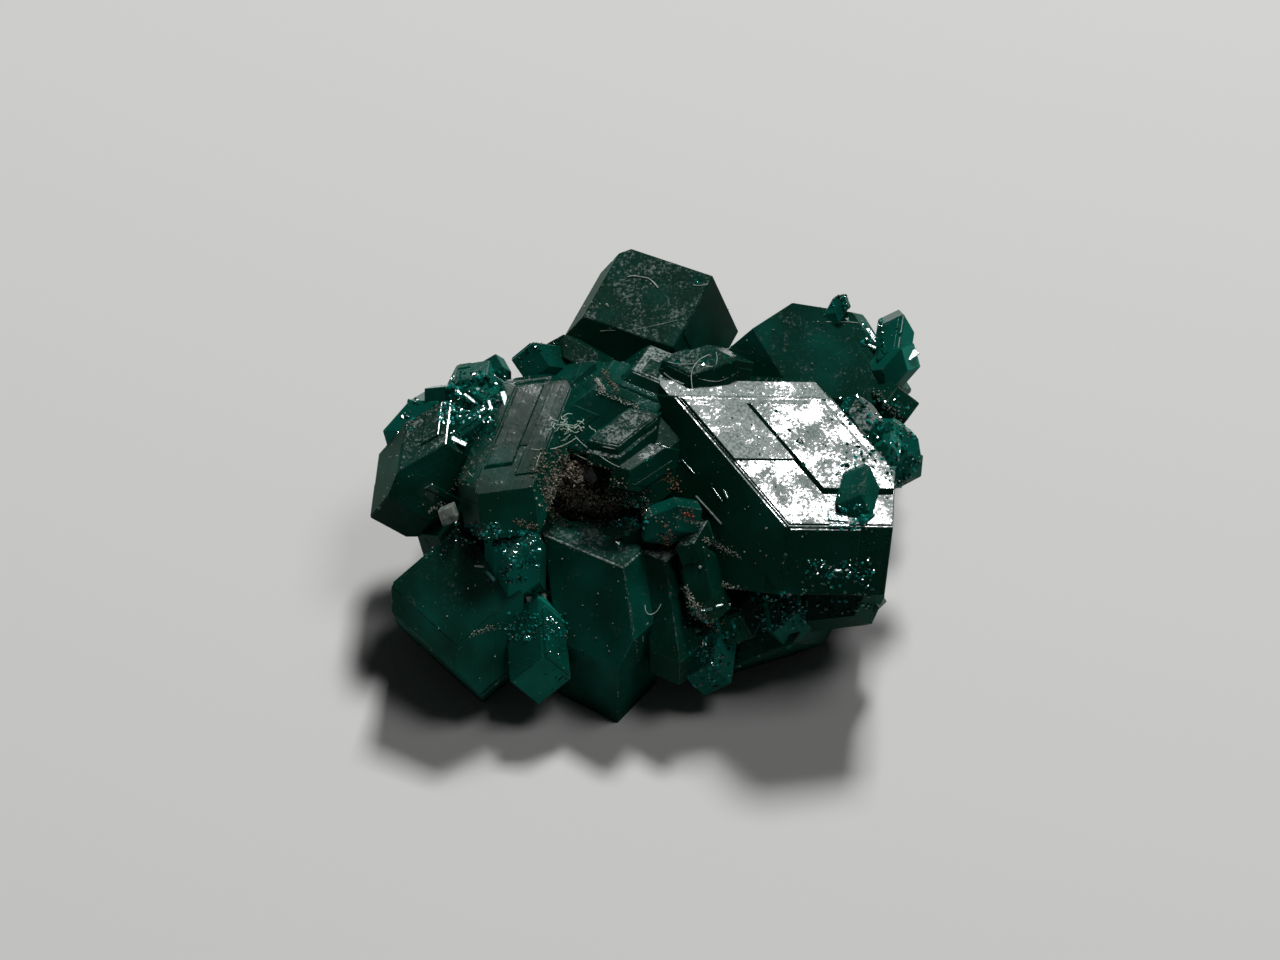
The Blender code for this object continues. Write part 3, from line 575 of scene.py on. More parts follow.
def druse_material():
    """Clear little crystals, painted a lighter teal than the large ones: painted glow of the light
    that has a short way in them.
    """
    graph = Graph("druse")
    tint = graph.stops(
        graph.attribute("tone") + (graph.noise(1.5, 2.0) - 0.5) * 0.6,
        (0.0, (0.001, 0.06, 0.04)), (0.5, (0.002, 0.20, 0.15)), (0.85, (0.004, 0.55, 0.48)),
        (1.0, (0.05, 0.75, 0.68)))
    return graph.finish(graph.principled(
        Base_Color=tint, Roughness=0.06, IOR=CRYSTAL_IOR, Transmission_Weight=0.55,
        Specular_IOR_Level=0.25, Normal=graph.bump(graph.noise(9.0, 2.0), 0.01, 0.3)))


def rock_material():
    """Sandy rock: tan, brown and grey grains with a few rusty ones, stained green in blotches."""
    graph = Graph("sandy_rock")
    pick = graph.add("ShaderNodeSeparateColor", {}, {0: graph.cells(9.0, "Color")}, "Red")
    sand = graph.stops(
        pick, (0.0, (0.012, 0.011, 0.009)), (0.5, (0.05, 0.044, 0.034)), (0.8, (0.15, 0.13, 0.10)),
        (0.96, (0.36, 0.32, 0.26)), (1.0, (0.36, 0.18, 0.09)))
    tone = graph.mix(graph.noise(0.7, 3.0).ramp(0.4, 0.6) * 0.75, sand,
                     colour(0.012, 0.02, 0.015))
    height = graph.cells(9.0) * -1.0 + graph.noise(14.0, 4.0)
    return graph.finish(graph.principled(Base_Color=tone, Roughness=0.85,
                                         Normal=graph.bump(height, 0.05)))


def bit_material(kind):
    """Loose bits of one kind, each with its own tone."""
    graph = Graph(f"{kind}_bits")
    shades = BIT_COLOURS[kind]
    tint = graph.stops(
        graph.attribute("tone") + (graph.noise(12.0, 2.0) - 0.5) * 0.5,
        *((number / (len(shades) - 1), shade) for number, shade in enumerate(shades)))
    return graph.finish(graph.principled(Base_Color=tint, Roughness=0.7,
                                         Normal=graph.bump(graph.noise(20.0, 2.0), 0.01)))


# Plain minerals and fibres: dark and light tone, roughness, share of light let through.
MINERALS = {
    "dark_mineral": ((0.006, 0.01, 0.008), (0.02, 0.03, 0.025), 0.35, 0.0),
    "pale_mineral": ((0.16, 0.20, 0.17), (0.42, 0.48, 0.43), 0.4, 0.3),
    "pale_flake": ((0.16, 0.22, 0.19), (0.34, 0.42, 0.37), 0.5, 0.0),
    "bright_facet": ((0.05, 0.30, 0.26), (0.20, 0.5, 0.45), 0.12, 0.4),
    "lint": ((0.45, 0.60, 0.50), (0.62, 0.78, 0.68), 0.9, 0.0),
    "scar": ((0.16, 0.22, 0.19), (0.38, 0.46, 0.41), 0.5, 0.0),
}


def mineral_material(name):
    """One of the plain minerals, mottled between its two tones."""
    dark, light, rough, clear = MINERALS[name]
    graph = Graph(name)
    tone = graph.mix(graph.noise(3.0, 5.0).ramp(0.35, 0.65), colour(*dark), colour(*light))
    return graph.finish(graph.principled(
        Base_Color=tone, Roughness=rough, Transmission_Weight=clear, IOR=1.6,
        Normal=graph.bump(graph.noise(8.0, 3.0), 0.02)))


# Crystal habit.

def face_normals():
    """Outward normals of the crystal's twelve faces, named by kind and compass angle."""
    slope = math.radians(RHOMB_SLOPE)
    normals = {}
    for angle in PRISM_FACES:
        turn = math.radians(angle)
        normals[f"a{angle}"] = Vector((math.cos(turn), math.sin(turn), 0.0))
    for prefix, angles, up in (("s", TOP_FACES, 1.0), ("t", BOTTOM_FACES, -1.0)):
        for angle in angles:
            turn = math.radians(angle)
            flat = math.sin(slope)
            normals[f"{prefix}{angle}"] = Vector(
                (flat * math.cos(turn), flat * math.sin(turn), up * math.cos(slope)))
    return normals


NORMALS = face_normals()


def face_distances(radius, length, moved):
    slope = math.radians(RHOMB_SLOPE)
    end = math.sin(slope) * CORNER_REACH * radius + math.cos(slope) * length / 2
    distances = {name: radius if name.startswith("a") else end for name in NORMALS}
    distances.update(moved)
    return distances


def corner_point(faces, distances):
    """The point where three faces meet, in the crystal's own frame."""
    planes = Matrix([NORMALS[name] for name in faces])
    return planes.inverted() @ Vector([distances[name] for name in faces])


def turned(heading, lean, spin):
    return (Matrix.Rotation(math.radians(heading), 4, "Z")
            @ Matrix.Rotation(math.radians(lean), 4, "Y")
            @ Matrix.Rotation(math.radians(spin), 4, "Z"))


# Modelling helpers.

def put(point):
    """A place in the specimen's millimetres, as metres in the frame."""
    return (Vector(point) + MIDDLE) * MM


def deselect():
    bpy.ops.object.select_all(action="DESELECT")


def only(made):
    deselect()
    made.select_set(True)
    bpy.context.view_layer.objects.active = made


@contextmanager
def editing():
    """Edit mode on the active object, with everything selected."""
    bpy.ops.object.mode_set(mode="EDIT")
    bpy.ops.mesh.select_all(action="SELECT")
    yield
    bpy.ops.object.mode_set(mode="OBJECT")


def settle(made, name):
    """Puts the object's place into its mesh and names both."""
    only(made)
    bpy.ops.object.transform_apply(location=True, rotation=True, scale=True)
    made.name = name
    made.data.name = name
    return made


def set_face_values(made, **values):
    """Gives each face its value, or all of them the same one."""
    count = len(made.data.polygons)
    for name, value in values.items():
        per_face = value if isinstance(value, list) else [value] * count
        kind = "FLOAT" if isinstance(per_face[0], float) else "FLOAT_VECTOR"
        layer = made.data.attributes.get(name) or made.data.attributes.new(name, kind, "FACE")
        if kind == "FLOAT":
            layer.data.foreach_set("value", per_face)
        else:
            layer.data.foreach_set("vector", [part for vector in per_face for part in vector])


def smooth(value, low, high):
    share = min(1.0, max(0.0, (value - low) / (high - low)))
    return share * share * (3.0 - 2.0 * share)


def cut_block(name, matrix, distances):
    """A cube bisected along each of a crystal's faces."""
    deselect()
    bpy.ops.mesh.primitive_cube_add(size=CUBE_ROOM * max(distances.values()) * MM)
    block = bpy.context.object
    block.matrix_world = matrix
    settle(block, name)
    turn = matrix.to_3x3()
    with editing():
        for face, normal in NORMALS.items():
            bpy.ops.mesh.select_all(action="SELECT")
            bpy.ops.mesh.bisect(plane_co=matrix @ (normal * distances[face] * MM),
                                plane_no=turn @ normal, use_fill=True, clear_outer=True,
                                threshold=1e-7)
    return block


def grow_block(name, matrix, distances, wear, crystal, film):
    """One block of a crystal, with worn edges and its faces' own values."""
    block = cut_block(name, matrix, distances)
    if wear:
        for _ in ("flat", "worn"):
            block.data.materials.append(None)
        with editing():
            bpy.ops.mesh.bevel(offset=wear * MM, segments=1, material=1, affect="EDGES")
    axis = matrix.to_3x3() @ Vector((0.0, 0.0, 1.0))
    faces = block.data.polygons
    set_face_values(
        block, tone=float(crystal.tone), fresh=0.0,
        wear=[float(face.material_index) for face in faces],
        dust=[film * smooth(face.normal.z, *LOOKS_UP) for face in faces],
        # Steep faces get dullness with painted shade; faces that look down get more painted shade.
        dull=[smooth(-face.normal.z, *STEEP) for face in faces],
        under=[smooth(-face.normal.z, *LOOKS_DOWN) for face in faces],
        grain=[axis.cross(face.normal) for face in faces])
    block.data.materials.clear()
    return block


def growth_steps(chance, distances, matrix, count):
    """The same crystal again, each time proud of one face it shows and short of four others."""
    turn = matrix.to_3x3()
    shown = [face for face, normal in NORMALS.items()
             if (turn @ normal).dot(TO_VIEWER) > SEEN_FROM or (turn @ normal).z > TOP_FROM]
    for _ in range(count):
        face = chance.choice(shown)
        moved = {name: value - STEP_INSET for name, value in distances.items()}
        moved[face] = distances[face] + chance.uniform(*STEP_PROUD)
        for other in chance.sample(sorted(set(NORMALS) - {face}), STEP_SHORT_FACES):
            moved[other] -= distances[other] * chance.uniform(*STEP_SHORT)
        yield moved


def grow_crystals(settings):
    chance = random.Random(settings.seed)
    blocks = []
    for name, crystal in CRYSTALS.items():
        distances = face_distances(crystal.radius, crystal.length, crystal.moved)
        rotation = turned(*crystal.turn)
        middle = Vector(crystal.place)
        if crystal.corner:
            middle -= rotation.to_3x3() @ corner_point(crystal.corner, distances)
        matrix = Matrix.Translation(put(middle)) @ rotation
        wear = min(settings.edge_wear, WIDEST_WEAR * crystal.radius)
        blocks.append(grow_block(name, matrix, distances, wear, crystal, crystal.film))
        for step in crystal.steps:
            stepped = {face: distances[face] + step.get(face, -STEP_INSET) for face in distances}
            blocks.append(grow_block(name + "_step", matrix, stepped, wear * STEP_WEAR, crystal,
                                     step.get("film", crystal.film)))
        for stepped in growth_steps(chance, distances, matrix, crystal.loose):
            film = crystal.film * chance.uniform(*STEP_FILM)
            blocks.append(grow_block(name + "_step", matrix, stepped, wear * LOOSE_WEAR, crystal,
                                     film))
    return blocks


def combine(target, others, operation):
    """Joins or cuts with all the other bodies at once, and removes them."""
    group = bpy.data.collections.new("operands")
    bpy.context.scene.collection.children.link(group)
    for other in others:
        group.objects.link(other)
    only(target)
    step = target.modifiers.new("combine", "BOOLEAN")
    step.operation = operation
    step.solver = "MANIFOLD"
    step.operand_type = "COLLECTION"
    step.collection = group
    bpy.ops.object.modifier_apply(modifier=step.name)
    for other in others:
        bpy.data.objects.remove(other, do_unlink=True)
    bpy.data.collections.remove(group)


def add_lump(name, place, size, turn, seed, roughness, detail):
    """A rough rounded mass: a ball pushed in and out at random."""
    chance = random.Random(seed)
    deselect()
    bpy.ops.mesh.primitive_ico_sphere_add(subdivisions=detail, radius=0.5 * MM)
    lump = bpy.context.object
    for vertex in lump.data.vertices:
        vertex.co *= 1.0 + chance.uniform(-roughness, roughness)
        vertex.co = Vector(a * b for a, b in zip(vertex.co, size))
    lump.matrix_world = Matrix.Translation(put(place)) @ turned(*turn)
    return settle(lump, name)


def add_ground():
    deselect()
    bpy.ops.mesh.primitive_cube_add(size=GROUND_SIZE * MM,
                                    location=(0.0, 0.0, -GROUND_SIZE / 2 * MM))
    return settle(bpy.context.object, "ground")


def add_patterns(kind, count, seed):
    """Small shapes of unit size at the origin, to be copied: crystals or broken grains."""
    chance = random.Random(seed)
    patterns = []
    for _ in range(count):
        if kind == "crystal":
            distances = face_distances(PATTERN_RADIUS, chance.uniform(*PATTERN_LENGTHS), {})
            for face in distances:
                distances[face] *= chance.uniform(*PATTERN_FACES)
            pattern = cut_block("pattern", Matrix.Identity(4), distances)
            pattern.data.transform(Matrix.Scale(1 / MM, 4))
        else:
            deselect()
            bpy.ops.mesh.primitive_ico_sphere_add(subdivisions=1, radius=0.5)
            pattern = bpy.context.object
            for vertex in pattern.data.vertices:
                vertex.co *= chance.uniform(*GRAIN_CORNERS)
        patterns.append(pattern)
    return patterns


def copy_at(pattern, matrix, **values):
    made = pattern.copy()
    made.data = pattern.data.copy()
    made.data.transform(matrix)
    bpy.context.scene.collection.objects.link(made)
    set_face_values(made, **values)
    return made


def join(pieces, name):
    deselect()
    for piece in pieces:
        piece.select_set(True)
    bpy.context.view_layer.objects.active = pieces[0]
    bpy.ops.object.join()
    return settle(pieces[0], name)


def remove(pieces):
    for piece in pieces:
        bpy.data.objects.remove(piece, do_unlink=True)


def lay(place, direction, spin, lean, size):
    """A shape's place: its +Z along `direction`, after a spin and a lean, at its size in mm."""
    upright = direction.to_track_quat("Z", "Y").to_matrix().to_4x4()
    scale = Matrix.Diagonal((*(side * MM for side in size), 1.0))
    return (Matrix.Translation(place) @ upright @ Matrix.Rotation(spin, 4, "Z")
            @ Matrix.Rotation(lean, 4, "Y") @ scale)


def glinting(place, spin, tilt, size):
    """A small crystal's place that turns one prism face almost towards the softbox's mirror."""
    facing = (GLINT + tilt).normalized().to_track_quat("Z", "Y").to_matrix().to_4x4()
    face_up = NORMALS["a30"].rotation_difference(Vector((0.0, 0.0, 1.0))).to_matrix().to_4x4()
    return (Matrix.Translation(place) @ facing @ Matrix.Rotation(spin, 4, "Z") @ face_up
            @ Matrix.Scale(size * MM, 4))


class Surface:
    """The specimen's surface, found by the picture's pixels or by chance all round it."""

    def __init__(self, *pieces):
        corners, faces = [], []
        for piece in pieces:
            first = len(corners)
            piece.data.calc_loop_triangles()
            corners += [vertex.co.copy() for vertex in piece.data.vertices]
            faces += [[first + corner for corner in triangle.vertices]
                      for triangle in piece.data.loop_triangles]
        self.tree = BVHTree.FromPolygons(corners, faces)
        self.triangles = [[corners[corner] for corner in face] for face in faces]
        self.areas = [0.5 * (b - a).cross(c - a).length for a, b, c in self.triangles]
        self.aim = put(AIM)
        self.eye = self.aim + TO_VIEWER * VIEW_DISTANCE * MM
        rise = math.radians(VIEW_HEIGHT)
        self.up = Vector((0.0, math.sin(rise), math.cos(rise)))

    def seen_at(self, across, down):
        """Where the line of sight through a pixel meets the surface, and its normal there."""
        target = (self.aim + Vector((across - PICTURE[0] / 2, 0.0, 0.0)) * PIXEL * MM
                  + self.up * (PICTURE[1] / 2 - down) * PIXEL * MM)
        place, normal, _, _ = self.tree.ray_cast(self.eye, (target - self.eye).normalized())
        return (place, normal) if place else None

    def by_chance(self, chance, count, wanted):
        """Places all over the surface whose middle and normal are wanted."""
        found = []
        for a, b, c in chance.choices(self.triangles, self.areas, k=count * TRIES):
            first, second = sorted((chance.random(), chance.random()))
            place = a * first + b * (second - first) + c * (1.0 - second)
            normal = (b - a).cross(c - a).normalized()
            if wanted(place / MM, normal):
                found.append((place, normal))
        return found[:count]


def dress(piece, material, slot, *replaced):
    """Gives a finished piece its material and its body, and hides the parts that it replaces."""
    piece.data.materials.clear()
    piece.data.materials.append(material)
    for face in piece.data.polygons:
        face.material_index = 0
    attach(piece, "root")
    if replaced:
        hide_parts(*replaced)
    return piece


def chip_places(body, chance, settings):
    """Where chips and pits are taken off: worn edges all round, faces here and there."""
    mesh = body.data
    worn = [face for face in mesh.polygons if mesh.attributes["wear"].data[face.index].value > 0.5]
    spots = []
    for face in chance.choices(worn, [face.area for face in worn], k=settings.chips):
        corners = [mesh.vertices[corner].co for corner in face.vertices]
        weights = [chance.random() + CORNER_WEIGHT for _ in corners]
        place = sum((co * weight for co, weight in zip(corners, weights)), Vector()) / sum(weights)
        width = min(WIDEST_CHIP, CHIP_WIDTH + chance.expovariate(CHIP_SPREAD))
        spots.append((place, face.normal.copy(), width))
    surface = Surface(body)
    for place, normal in surface.by_chance(chance, settings.pits,
                                           lambda at, up: at.z > PIT_FLOOR):
        spots.append((place, normal, PIT_WIDTH + chance.expovariate(PIT_SPREAD)))
    for pixel, width in PITS:
        seen = surface.seen_at(*pixel)
        if seen:
            spots.append((*seen, width))
    return spots


def take_chips(body, settings):
    """Cuts every chip and pit out of the crystals; the fresh break is glassy."""
    chance = random.Random(settings.seed + 1)
    patterns = add_patterns("grain", count=6, seed=21)
    chips = []
    for place, normal, width in chip_places(body, chance, settings):
        size = tuple(width * chance.uniform(*side) for side in CHIP_SIDES)
        matrix = lay(place + normal * width * CHIP_PROUD * MM, normal,
                     chance.uniform(0.0, math.tau), chance.uniform(-CHIP_LEAN, CHIP_LEAN), size)
        chips.append(copy_at(chance.choice(patterns), matrix,
                             tone=chance.uniform(*CHIP_TONES),
                             fresh=chance.uniform(*CHIP_FRESH), wear=0.0, dust=0.0,
                             dull=0.0, under=0.0, grain=(0.0, 0.0, 1.0)))
    remove(patterns)
    combine(body, chips, "DIFFERENCE")


def surface_of(*names):
    return Surface(*(bpy.data.objects[name] for name in names))


def add_thread(points, thickness, name):
    """A thin round thread along a smooth curve, as a mesh."""
    deselect()
    bpy.ops.curve.primitive_bezier_curve_add()
    thread = bpy.context.object
    curve = thread.data
    curve.splines.clear()
    spline = curve.splines.new("NURBS")
    spline.points.add(len(points) - 1)
    for point, place in zip(spline.points, points):
        point.co = (*place, 1.0)
    spline.order_u = min(4, len(points))
    spline.use_endpoint_u = True
    spline.resolution_u = 3
    curve.bevel_depth = thickness * 0.5 * MM
    curve.bevel_resolution = 1
    curve.use_fill_caps = True
    bpy.ops.object.convert(target="MESH")
    return settle(bpy.context.object, name)


# The user's settings.

class SpecimenSettings(bpy.types.PropertyGroup):
    """What a user of the specimen would change."""

    seed: IntProperty(name="Seed", description="Chance of the loose growth steps and chips",
                      default=7)
    edge_wear: FloatProperty(name="Edge wear", description="Width of the worn edges, mm",
                             default=0.03, min=0.0, max=0.2)
    chips: IntProperty(name="Chips", description="Chips along the worn edges", default=420, min=0)
    pits: IntProperty(name="Pits", description="Pits on the faces", default=170, min=0)
    deep_green: FloatVectorProperty(name="Deep green", description="Tint of the darker crystal",
                                    default=(0.005, 0.16, 0.095), subtype="COLOR", min=0, max=1)
    # The bright green end of the tone stands partly for painted glow.
    bright_green: FloatVectorProperty(name="Bright green",
                                      description="Tint of the clearer crystal",
                                      default=(0.01, 0.62, 0.46), subtype="COLOR", min=0, max=1)
    seen_through: FloatVectorProperty(name="Seen through",
                                      description="What light is left after a long way inside",
                                      default=(0.0, 0.84, 0.76), subtype="COLOR", min=0, max=1)
    murk: FloatProperty(name="Murk", description="How fast the crystal swallows light, per mm",
                        default=2.2, min=0.0)


class StageSettings(bpy.types.PropertyGroup):
    """The floor, the lights and the camera."""

    floor_tone: FloatProperty(name="Floor tone", description="Paleness of the floor",
                              default=0.75, min=0.0, max=1.0, subtype="FACTOR")
    surroundings: FloatProperty(name="Surroundings", description="Light from all round",
                                default=0.012, min=0.0)
    softbox: FloatProperty(name="Softbox", description="Power of the light behind",
                           default=2.4, min=0.0, unit="POWER")
    overhead: FloatProperty(name="Overhead", description="Power of the light overhead",
                            default=0.6, min=0.0, unit="POWER")


# One operator for each piece or group of like pieces.

class DIOPTASE_OT_crystals(bpy.types.Operator):
    """Grows all the crystals, joins them, opens the rock's pocket and takes the chips off"""
    bl_idname = "dioptase.crystals"
    bl_label = "Dioptase crystals"

    def execute(self, context):
        settings = context.scene.dioptase
        blocks = grow_crystals(settings)
        body = blocks[0]
        combine(body, blocks[1:], "UNION")
        room = tuple(side + 2 * ROCK_ROOM for side in ROCK_SIZE)
        pocket = add_lump("rock_pocket", ROCK_PLACE, room, ROCK_TURN, seed=3, roughness=0.05,
                          detail=3)
        combine(body, [add_ground(), pocket], "DIFFERENCE")
        take_chips(body, settings)
        body.name = body.data.name = "dioptase_cluster"
        dress(body, dioptase_material(settings), "dioptase_green", "dioptase_crystals")
        return {"FINISHED"}


class DIOPTASE_OT_host_rock(bpy.types.Operator):
    """Makes the sandy rock in the pocket"""
    bl_idname = "dioptase.host_rock"
    bl_label = "Host rock"

    def execute(self, context):
        rock = add_lump("sandy_rock", ROCK_PLACE, ROCK_SIZE, ROCK_TURN, seed=3, roughness=0.02,
                        detail=4)
        cut = add_lump("rock_break", ROCK_BREAK, ROCK_BREAK_SIZE, ROCK_BREAK_TURN, seed=11,
                       roughness=0.01, detail=4)
        combine(rock, [cut], "DIFFERENCE")
        only(rock)
        rough = rock.modifiers.new("even_faces", "REMESH")
        rough.mode = "VOXEL"
        rough.voxel_size = ROCK_VOXEL * MM
        bpy.ops.object.modifier_apply(modifier=rough.name)
        for vertex in rock.data.vertices:
            at = vertex.co / MM
            push = sum(noise.noise(at * often) * height for often, height in ROCK_SWELLS)
            vertex.co -= vertex.normal * (ROCK_SINK - push) * MM
        dress(rock, rock_material(), "sandy_rock", "host_rock")
        shape = face_distances(radius=0.42, length=0.3, moved={})
        cube = cut_block("rock_crystal", Matrix.Identity(4), shape)
        place, _ = surface_of("sandy_rock").seen_at(*ROCK_CRYSTAL_AT)
        cube.data.transform(Matrix.Translation(place) @ turned(*ROCK_CRYSTAL_TURN))
        dress(cube, mineral_material("dark_mineral"), "dioptase_green")
        return {"FINISHED"}


class DIOPTASE_OT_pale_grain(bpy.types.Operator):
    """Makes the pale grain wedged in the crack on the left"""
    bl_idname = "dioptase.pale_grain"
    bl_label = "Pale grain"

    def execute(self, context):
        place = (Matrix.Translation(put(GRAIN_PLACE)) @ Matrix.Rotation(GRAIN_LEAN, 4, "X")
                 @ Matrix.Diagonal((*GRAIN_SIZE, 1.0)))
        shape = face_distances(radius=0.42, length=0.4, moved=GRAIN_FACES)
        grain = cut_block("angular_grain", place, shape)
        dress(grain, mineral_material("pale_mineral"), "pale_mineral", "pale_grain")
        return {"FINISHED"}


class DIOPTASE_OT_druse(bpy.types.Operator):
    """Strews the druse: tiny crystals in the nooks that the picture shows and all round the foot"""
    bl_idname = "dioptase.druse"
    bl_label = "Druse"

    def execute(self, context):
        chance = random.Random(context.scene.dioptase.seed + 2)
        surface = surface_of("dioptase_cluster")
        patterns = add_patterns("crystal", count=5, seed=31)
        spots = []
        for (left, top, right, bottom), count, sizes, glints, painted_glow in DRUSE:
            for _ in range(count):
                seen = surface.seen_at(chance.uniform(left, right), chance.uniform(top, bottom))
                if seen:
                    spots.append((*seen, chance.uniform(*sizes), glints, painted_glow))
        nooks = [place for place, _ in surface.by_chance(
            chance, NOOKS, lambda at, up: (
                at.z < NOOK_TOP and at.y > NOOK_FRONT and up.z > NOOK_FACING))]
        for nook in nooks:
            near = surface.by_chance(
                chance, IN_A_NOOK,
                lambda at, up: (at - nook / MM).length < NOOK_REACH and at.z > NOOK_FLOOR)
            spots += [(place, normal, chance.uniform(*NOOK_SIZES), NOOK_GLINTS, NOOK_PAINTED_GLOW)
                      for place, normal in near]
        crystals = []
        for place, normal, size, glints, painted_glow in spots:
            inside = place - normal * size * DRUSE_SUNK * MM
            if chance.random() < glints:
                tilt = Vector(chance.gauss(0.0, GLINT_TILT) for _ in range(3))
                matrix = glinting(inside, chance.uniform(0.0, math.tau), tilt, size * GLINT_SIZE)
            else:
                matrix = lay(inside, normal, chance.uniform(0.0, math.tau),
                             chance.uniform(*DRUSE_LEAN), (size, size, size))
            # Each crystal's tone carries its zone's painted glow.
            crystals.append(copy_at(chance.choice(patterns), matrix,
                                    tone=chance.gauss(painted_glow, DRUSE_TONES)))
        remove(patterns)
        dress(join(crystals, "druse"), druse_material(), "dioptase_green")
        return {"FINISHED"}


class DIOPTASE_OT_bits(bpy.types.Operator):
    """Strews sand, pale crumbs and rusty bits, in one piece for each kind"""
    bl_idname = "dioptase.bits"
    bl_label = "Sand and crumbs"

    def execute(self, context):
        chance = random.Random(context.scene.dioptase.seed + 3)
        surface = surface_of("dioptase_cluster", "sandy_rock")
        patterns = add_patterns("grain", count=6, seed=41)
        bits = {kind: [] for kind in BIT_COLOURS}
        for start, end, spread, count, sizes, kind in CRUMBS:
            for _ in range(count):
                share = chance.random()
                seen = surface.seen_at(*(first + (last - first) * share + chance.gauss(0, spread)
                                         for first, last in zip(start, end)))
                if seen:
                    bits[kind].append((*seen, chance.uniform(*sizes)))
        for kind, count in STRAY_BITS:
            for place, normal in surface.by_chance(
                    chance, count, lambda at, up: up.z > BIT_FACING and at.z > BIT_FLOOR):
                bits[kind].append((place, normal, BIT_SIZE + chance.expovariate(BIT_SPREAD)))
        for kind, spots in bits.items():
            copies = []
            for place, normal, size in spots:
                sides = tuple(size * chance.uniform(*BIT_SIDES) for _ in range(3))
                matrix = lay(place + normal * size * BIT_LIFT * MM, normal,
                             chance.uniform(0.0, math.tau), chance.uniform(*BIT_LEAN), sides)
                copies.append(copy_at(chance.choice(patterns), matrix, tone=chance.random()))
            slot = "sandy_rock" if kind != "pale" else "pale_mineral"
            dress(join(copies, f"{kind}_bits"), bit_material(kind), slot)
        remove(patterns)
        return {"FINISHED"}


class DIOPTASE_OT_flakes(bpy.types.Operator):
    """Lays the thin flakes and bright facets between two pixels of the picture each"""
    bl_idname = "dioptase.flakes"
    bl_label = "Flakes"

    def execute(self, context):
        surface = surface_of("dioptase_cluster", "sandy_rock")
        made = {"pale": [], "glint": []}
        for start, end, width, kind in FLAKES:
            ends = [surface.seen_at(*pixel) for pixel in (start, end)]
            if None in ends:
                continue
            middle = (ends[0][0] + ends[1][0]) / 2
            run = ends[1][0] - ends[0][0]
            normal = GLINT if kind == "glint" else (ends[0][1] + ends[1][1]).normalized()
            along = (run - normal * run.dot(normal)).normalized()
            aside = normal.cross(along)
            deselect()
            bpy.ops.mesh.primitive_cube_add(size=1.0)
            flake = bpy.context.object
            turn = Matrix((along, aside, normal)).transposed().to_4x4()
            size = Matrix.Diagonal((run.length, width * MM, FLAKE_THICK * MM, 1.0))
            flake.matrix_world = Matrix.Translation(middle + normal * FLAKE_LIFT * MM) @ turn @ size
            settle(flake, "flake")
            with editing():
                bpy.ops.mesh.bevel(offset=min(FLAKE_BEVEL, width * WIDEST_BEVEL) * MM,
                                   segments=1, affect="EDGES")
            made[kind].append(flake)
        dress(join(made["pale"], "pale_flakes"), mineral_material("pale_flake"), "pale_mineral")
        dress(join(made["glint"], "bright_facets"), mineral_material("bright_facet"),
              "dioptase_green")
        return {"FINISHED"}


class DIOPTASE_OT_lint(bpy.types.Operator):
    """Lays the lint fibres and the tuft of fluff, and raises the pale scars"""
    bl_idname = "dioptase.lint"
    bl_label = "Lint and scars"

    def execute(self, context):
        chance = random.Random(context.scene.dioptase.seed + 4)
        surface = surface_of("dioptase_cluster", "sandy_rock")
        threads = {"lint": [], "scar": []}
        for pixels, thickness, height, kind in THREADS:
            seen = [surface.seen_at(*pixel) for pixel in pixels]
            last = len(seen) - 1
            low, high = THREAD_RAISED
            points = [place + TO_VIEWER * MM * (height * (low < number / last < high)
                                                + thickness * THREAD_LIFT)
                      for number, (place, _) in enumerate(spot for spot in seen if spot)]
            threads[kind].append(add_thread(points, thickness, kind))
        middle, count, spreads = FLUFF
        for _ in range(count):
            seen = surface.seen_at(*(centre + chance.gauss(0, spread)
                                     for centre, spread in zip(middle, spreads)))
            heading = chance.uniform(0.0, math.tau)
            place = seen[0] + TO_VIEWER * chance.uniform(*FLUFF_LIFT) * MM
            points = [place]
            for _ in range(FLUFF_STEPS):
                heading += chance.gauss(0.0, FLUFF_CURL)
                place = place + (Vector((math.cos(heading), math.sin(heading) * FLUFF_FLAT,
                                         chance.uniform(-FLUFF_RISE, FLUFF_RISE)))
                                 * FLUFF_STEP * MM)
                points.append(place)
            threads["lint"].append(add_thread(points, FLUFF_THICK, "fluff"))
        dress(join(threads["lint"], "lint"), mineral_material("lint"), "pale_mineral")
        dress(join(threads["scar"], "scars"), mineral_material("scar"), "pale_mineral")
        return {"FINISHED"}


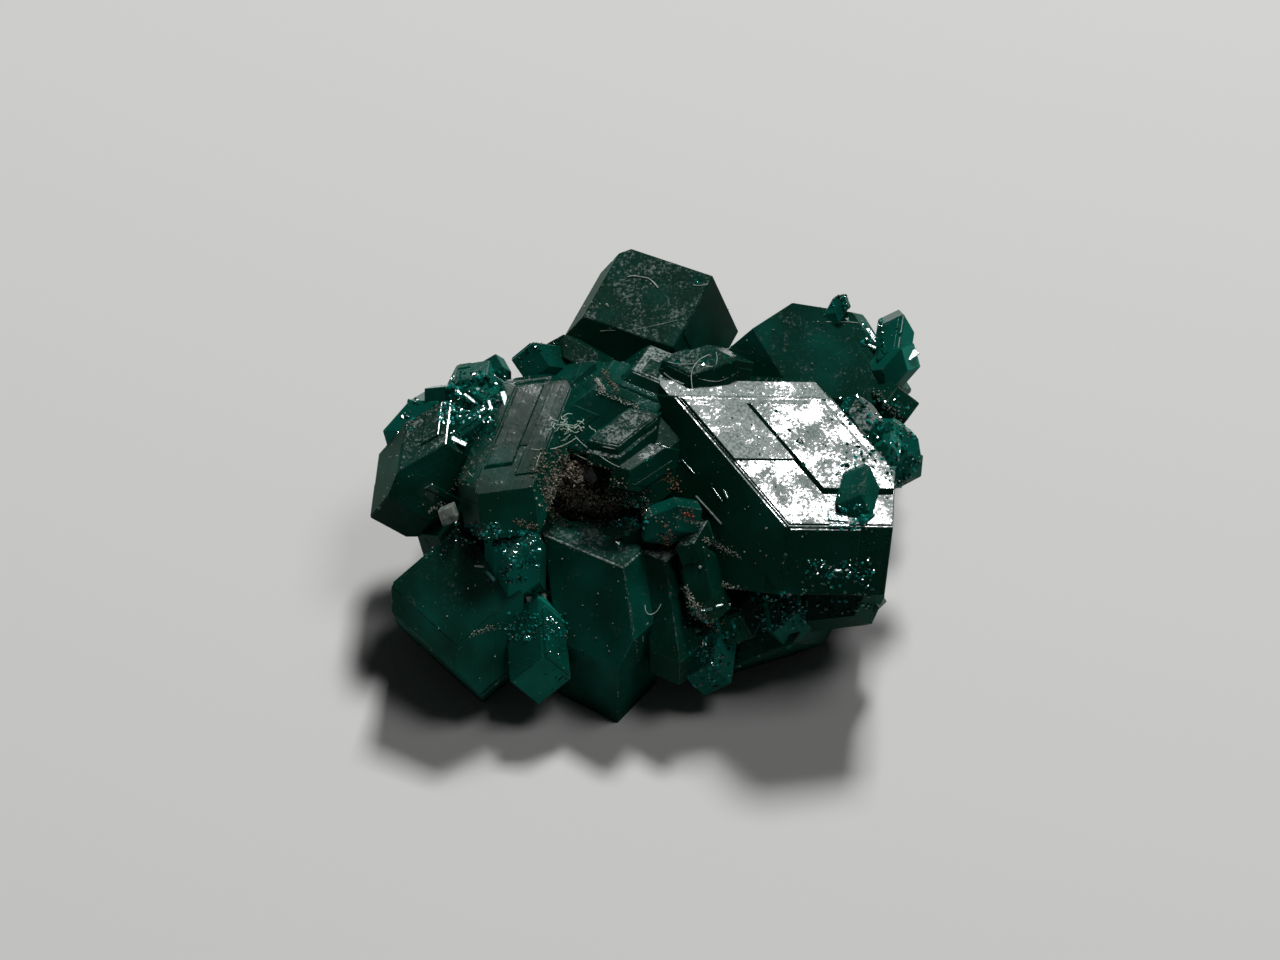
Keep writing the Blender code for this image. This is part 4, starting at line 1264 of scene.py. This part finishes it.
class DIOPTASE_OT_stage(bpy.types.Operator):
    """Sets the floor, the soft lights and the camera"""
    bl_idname = "dioptase.stage"
    bl_label = "Stage"

    def execute(self, context):
        scene = context.scene
        stage = scene.dioptase_stage
        deselect()
        bpy.ops.mesh.primitive_plane_add(size=FLOOR_WIDTH)
        floor = settle(context.object, "floor")
        graph = Graph("floor")
        tone = stage.floor_tone
        floor.data.materials.append(graph.finish(graph.principled(
            Base_Color=colour(tone, tone, tone * 0.98), Roughness=0.9)))
        world = bpy.data.worlds.new("studio")
        scene.world = world
        world.use_nodes = True
        shine = world.node_tree.nodes["Background"].inputs
        shine["Color"].default_value = colour(1.0, 1.0, 1.0)
        shine["Strength"].default_value = stage.surroundings
        aim = put(AIM)
        for name, direction, distance, width in LIGHTS:
            self.add_light(name, direction, distance, width, aim, getattr(stage, name))
        self.add_camera(scene, aim)
        scene.view_settings.view_transform = "Standard"
        return {"FINISHED"}

    def add_light(self, name, direction, distance, width, aim, power):
        away = toward(*direction)
        deselect()
        bpy.ops.object.light_add(type="AREA", location=aim + away * distance)
        light = bpy.context.object
        light.name = name
        light.rotation_euler = away.to_track_quat("Z", "Y").to_euler()
        light.data.size = width
        light.data.energy = power

    def add_camera(self, scene, aim):
        distance = VIEW_DISTANCE * MM
        deselect()
        bpy.ops.object.camera_add(location=aim + TO_VIEWER * distance)
        camera = bpy.context.object
        camera.rotation_euler = (-TO_VIEWER).to_track_quat("-Z", "Y").to_euler()
        camera.data.sensor_width = SENSOR_WIDTH
        camera.data.lens = SENSOR_WIDTH * distance / (PICTURE[0] * PIXEL * MM)
        camera.data.clip_start = MM
        scene.camera = camera


class DIOPTASE_PT_panel(bpy.types.Panel):
    """Lists the specimen's pieces and settings"""
    bl_idname = "DIOPTASE_PT_panel"
    bl_label = "Dioptase specimen"
    bl_space_type = "VIEW_3D"
    bl_region_type = "UI"
    bl_category = "Dioptase"

    def draw(self, context):
        layout = self.layout
        for group in (context.scene.dioptase, context.scene.dioptase_stage):
            for name in group.__annotations__:
                layout.prop(group, name)
        for operator in PIECES:
            layout.operator(operator.bl_idname)


PIECES = (DIOPTASE_OT_crystals, DIOPTASE_OT_host_rock, DIOPTASE_OT_pale_grain, DIOPTASE_OT_druse,
          DIOPTASE_OT_bits, DIOPTASE_OT_flakes, DIOPTASE_OT_lint, DIOPTASE_OT_stage)
CLASSES = (SpecimenSettings, StageSettings, *PIECES, DIOPTASE_PT_panel)


def register():
    for kind in CLASSES:
        bpy.utils.register_class(kind)
    bpy.types.Scene.dioptase = PointerProperty(type=SpecimenSettings)
    bpy.types.Scene.dioptase_stage = PointerProperty(type=StageSettings)


def unregister():
    del bpy.types.Scene.dioptase_stage
    del bpy.types.Scene.dioptase
    for kind in reversed(CLASSES):
        bpy.utils.unregister_class(kind)


def main():
    register()
    bpy.ops.dioptase.crystals()
    bpy.ops.dioptase.host_rock()
    bpy.ops.dioptase.pale_grain()
    bpy.ops.dioptase.druse()
    bpy.ops.dioptase.bits()
    bpy.ops.dioptase.flakes()
    bpy.ops.dioptase.lint()
    bpy.ops.dioptase.stage()


if __name__ == "__main__":
    main()
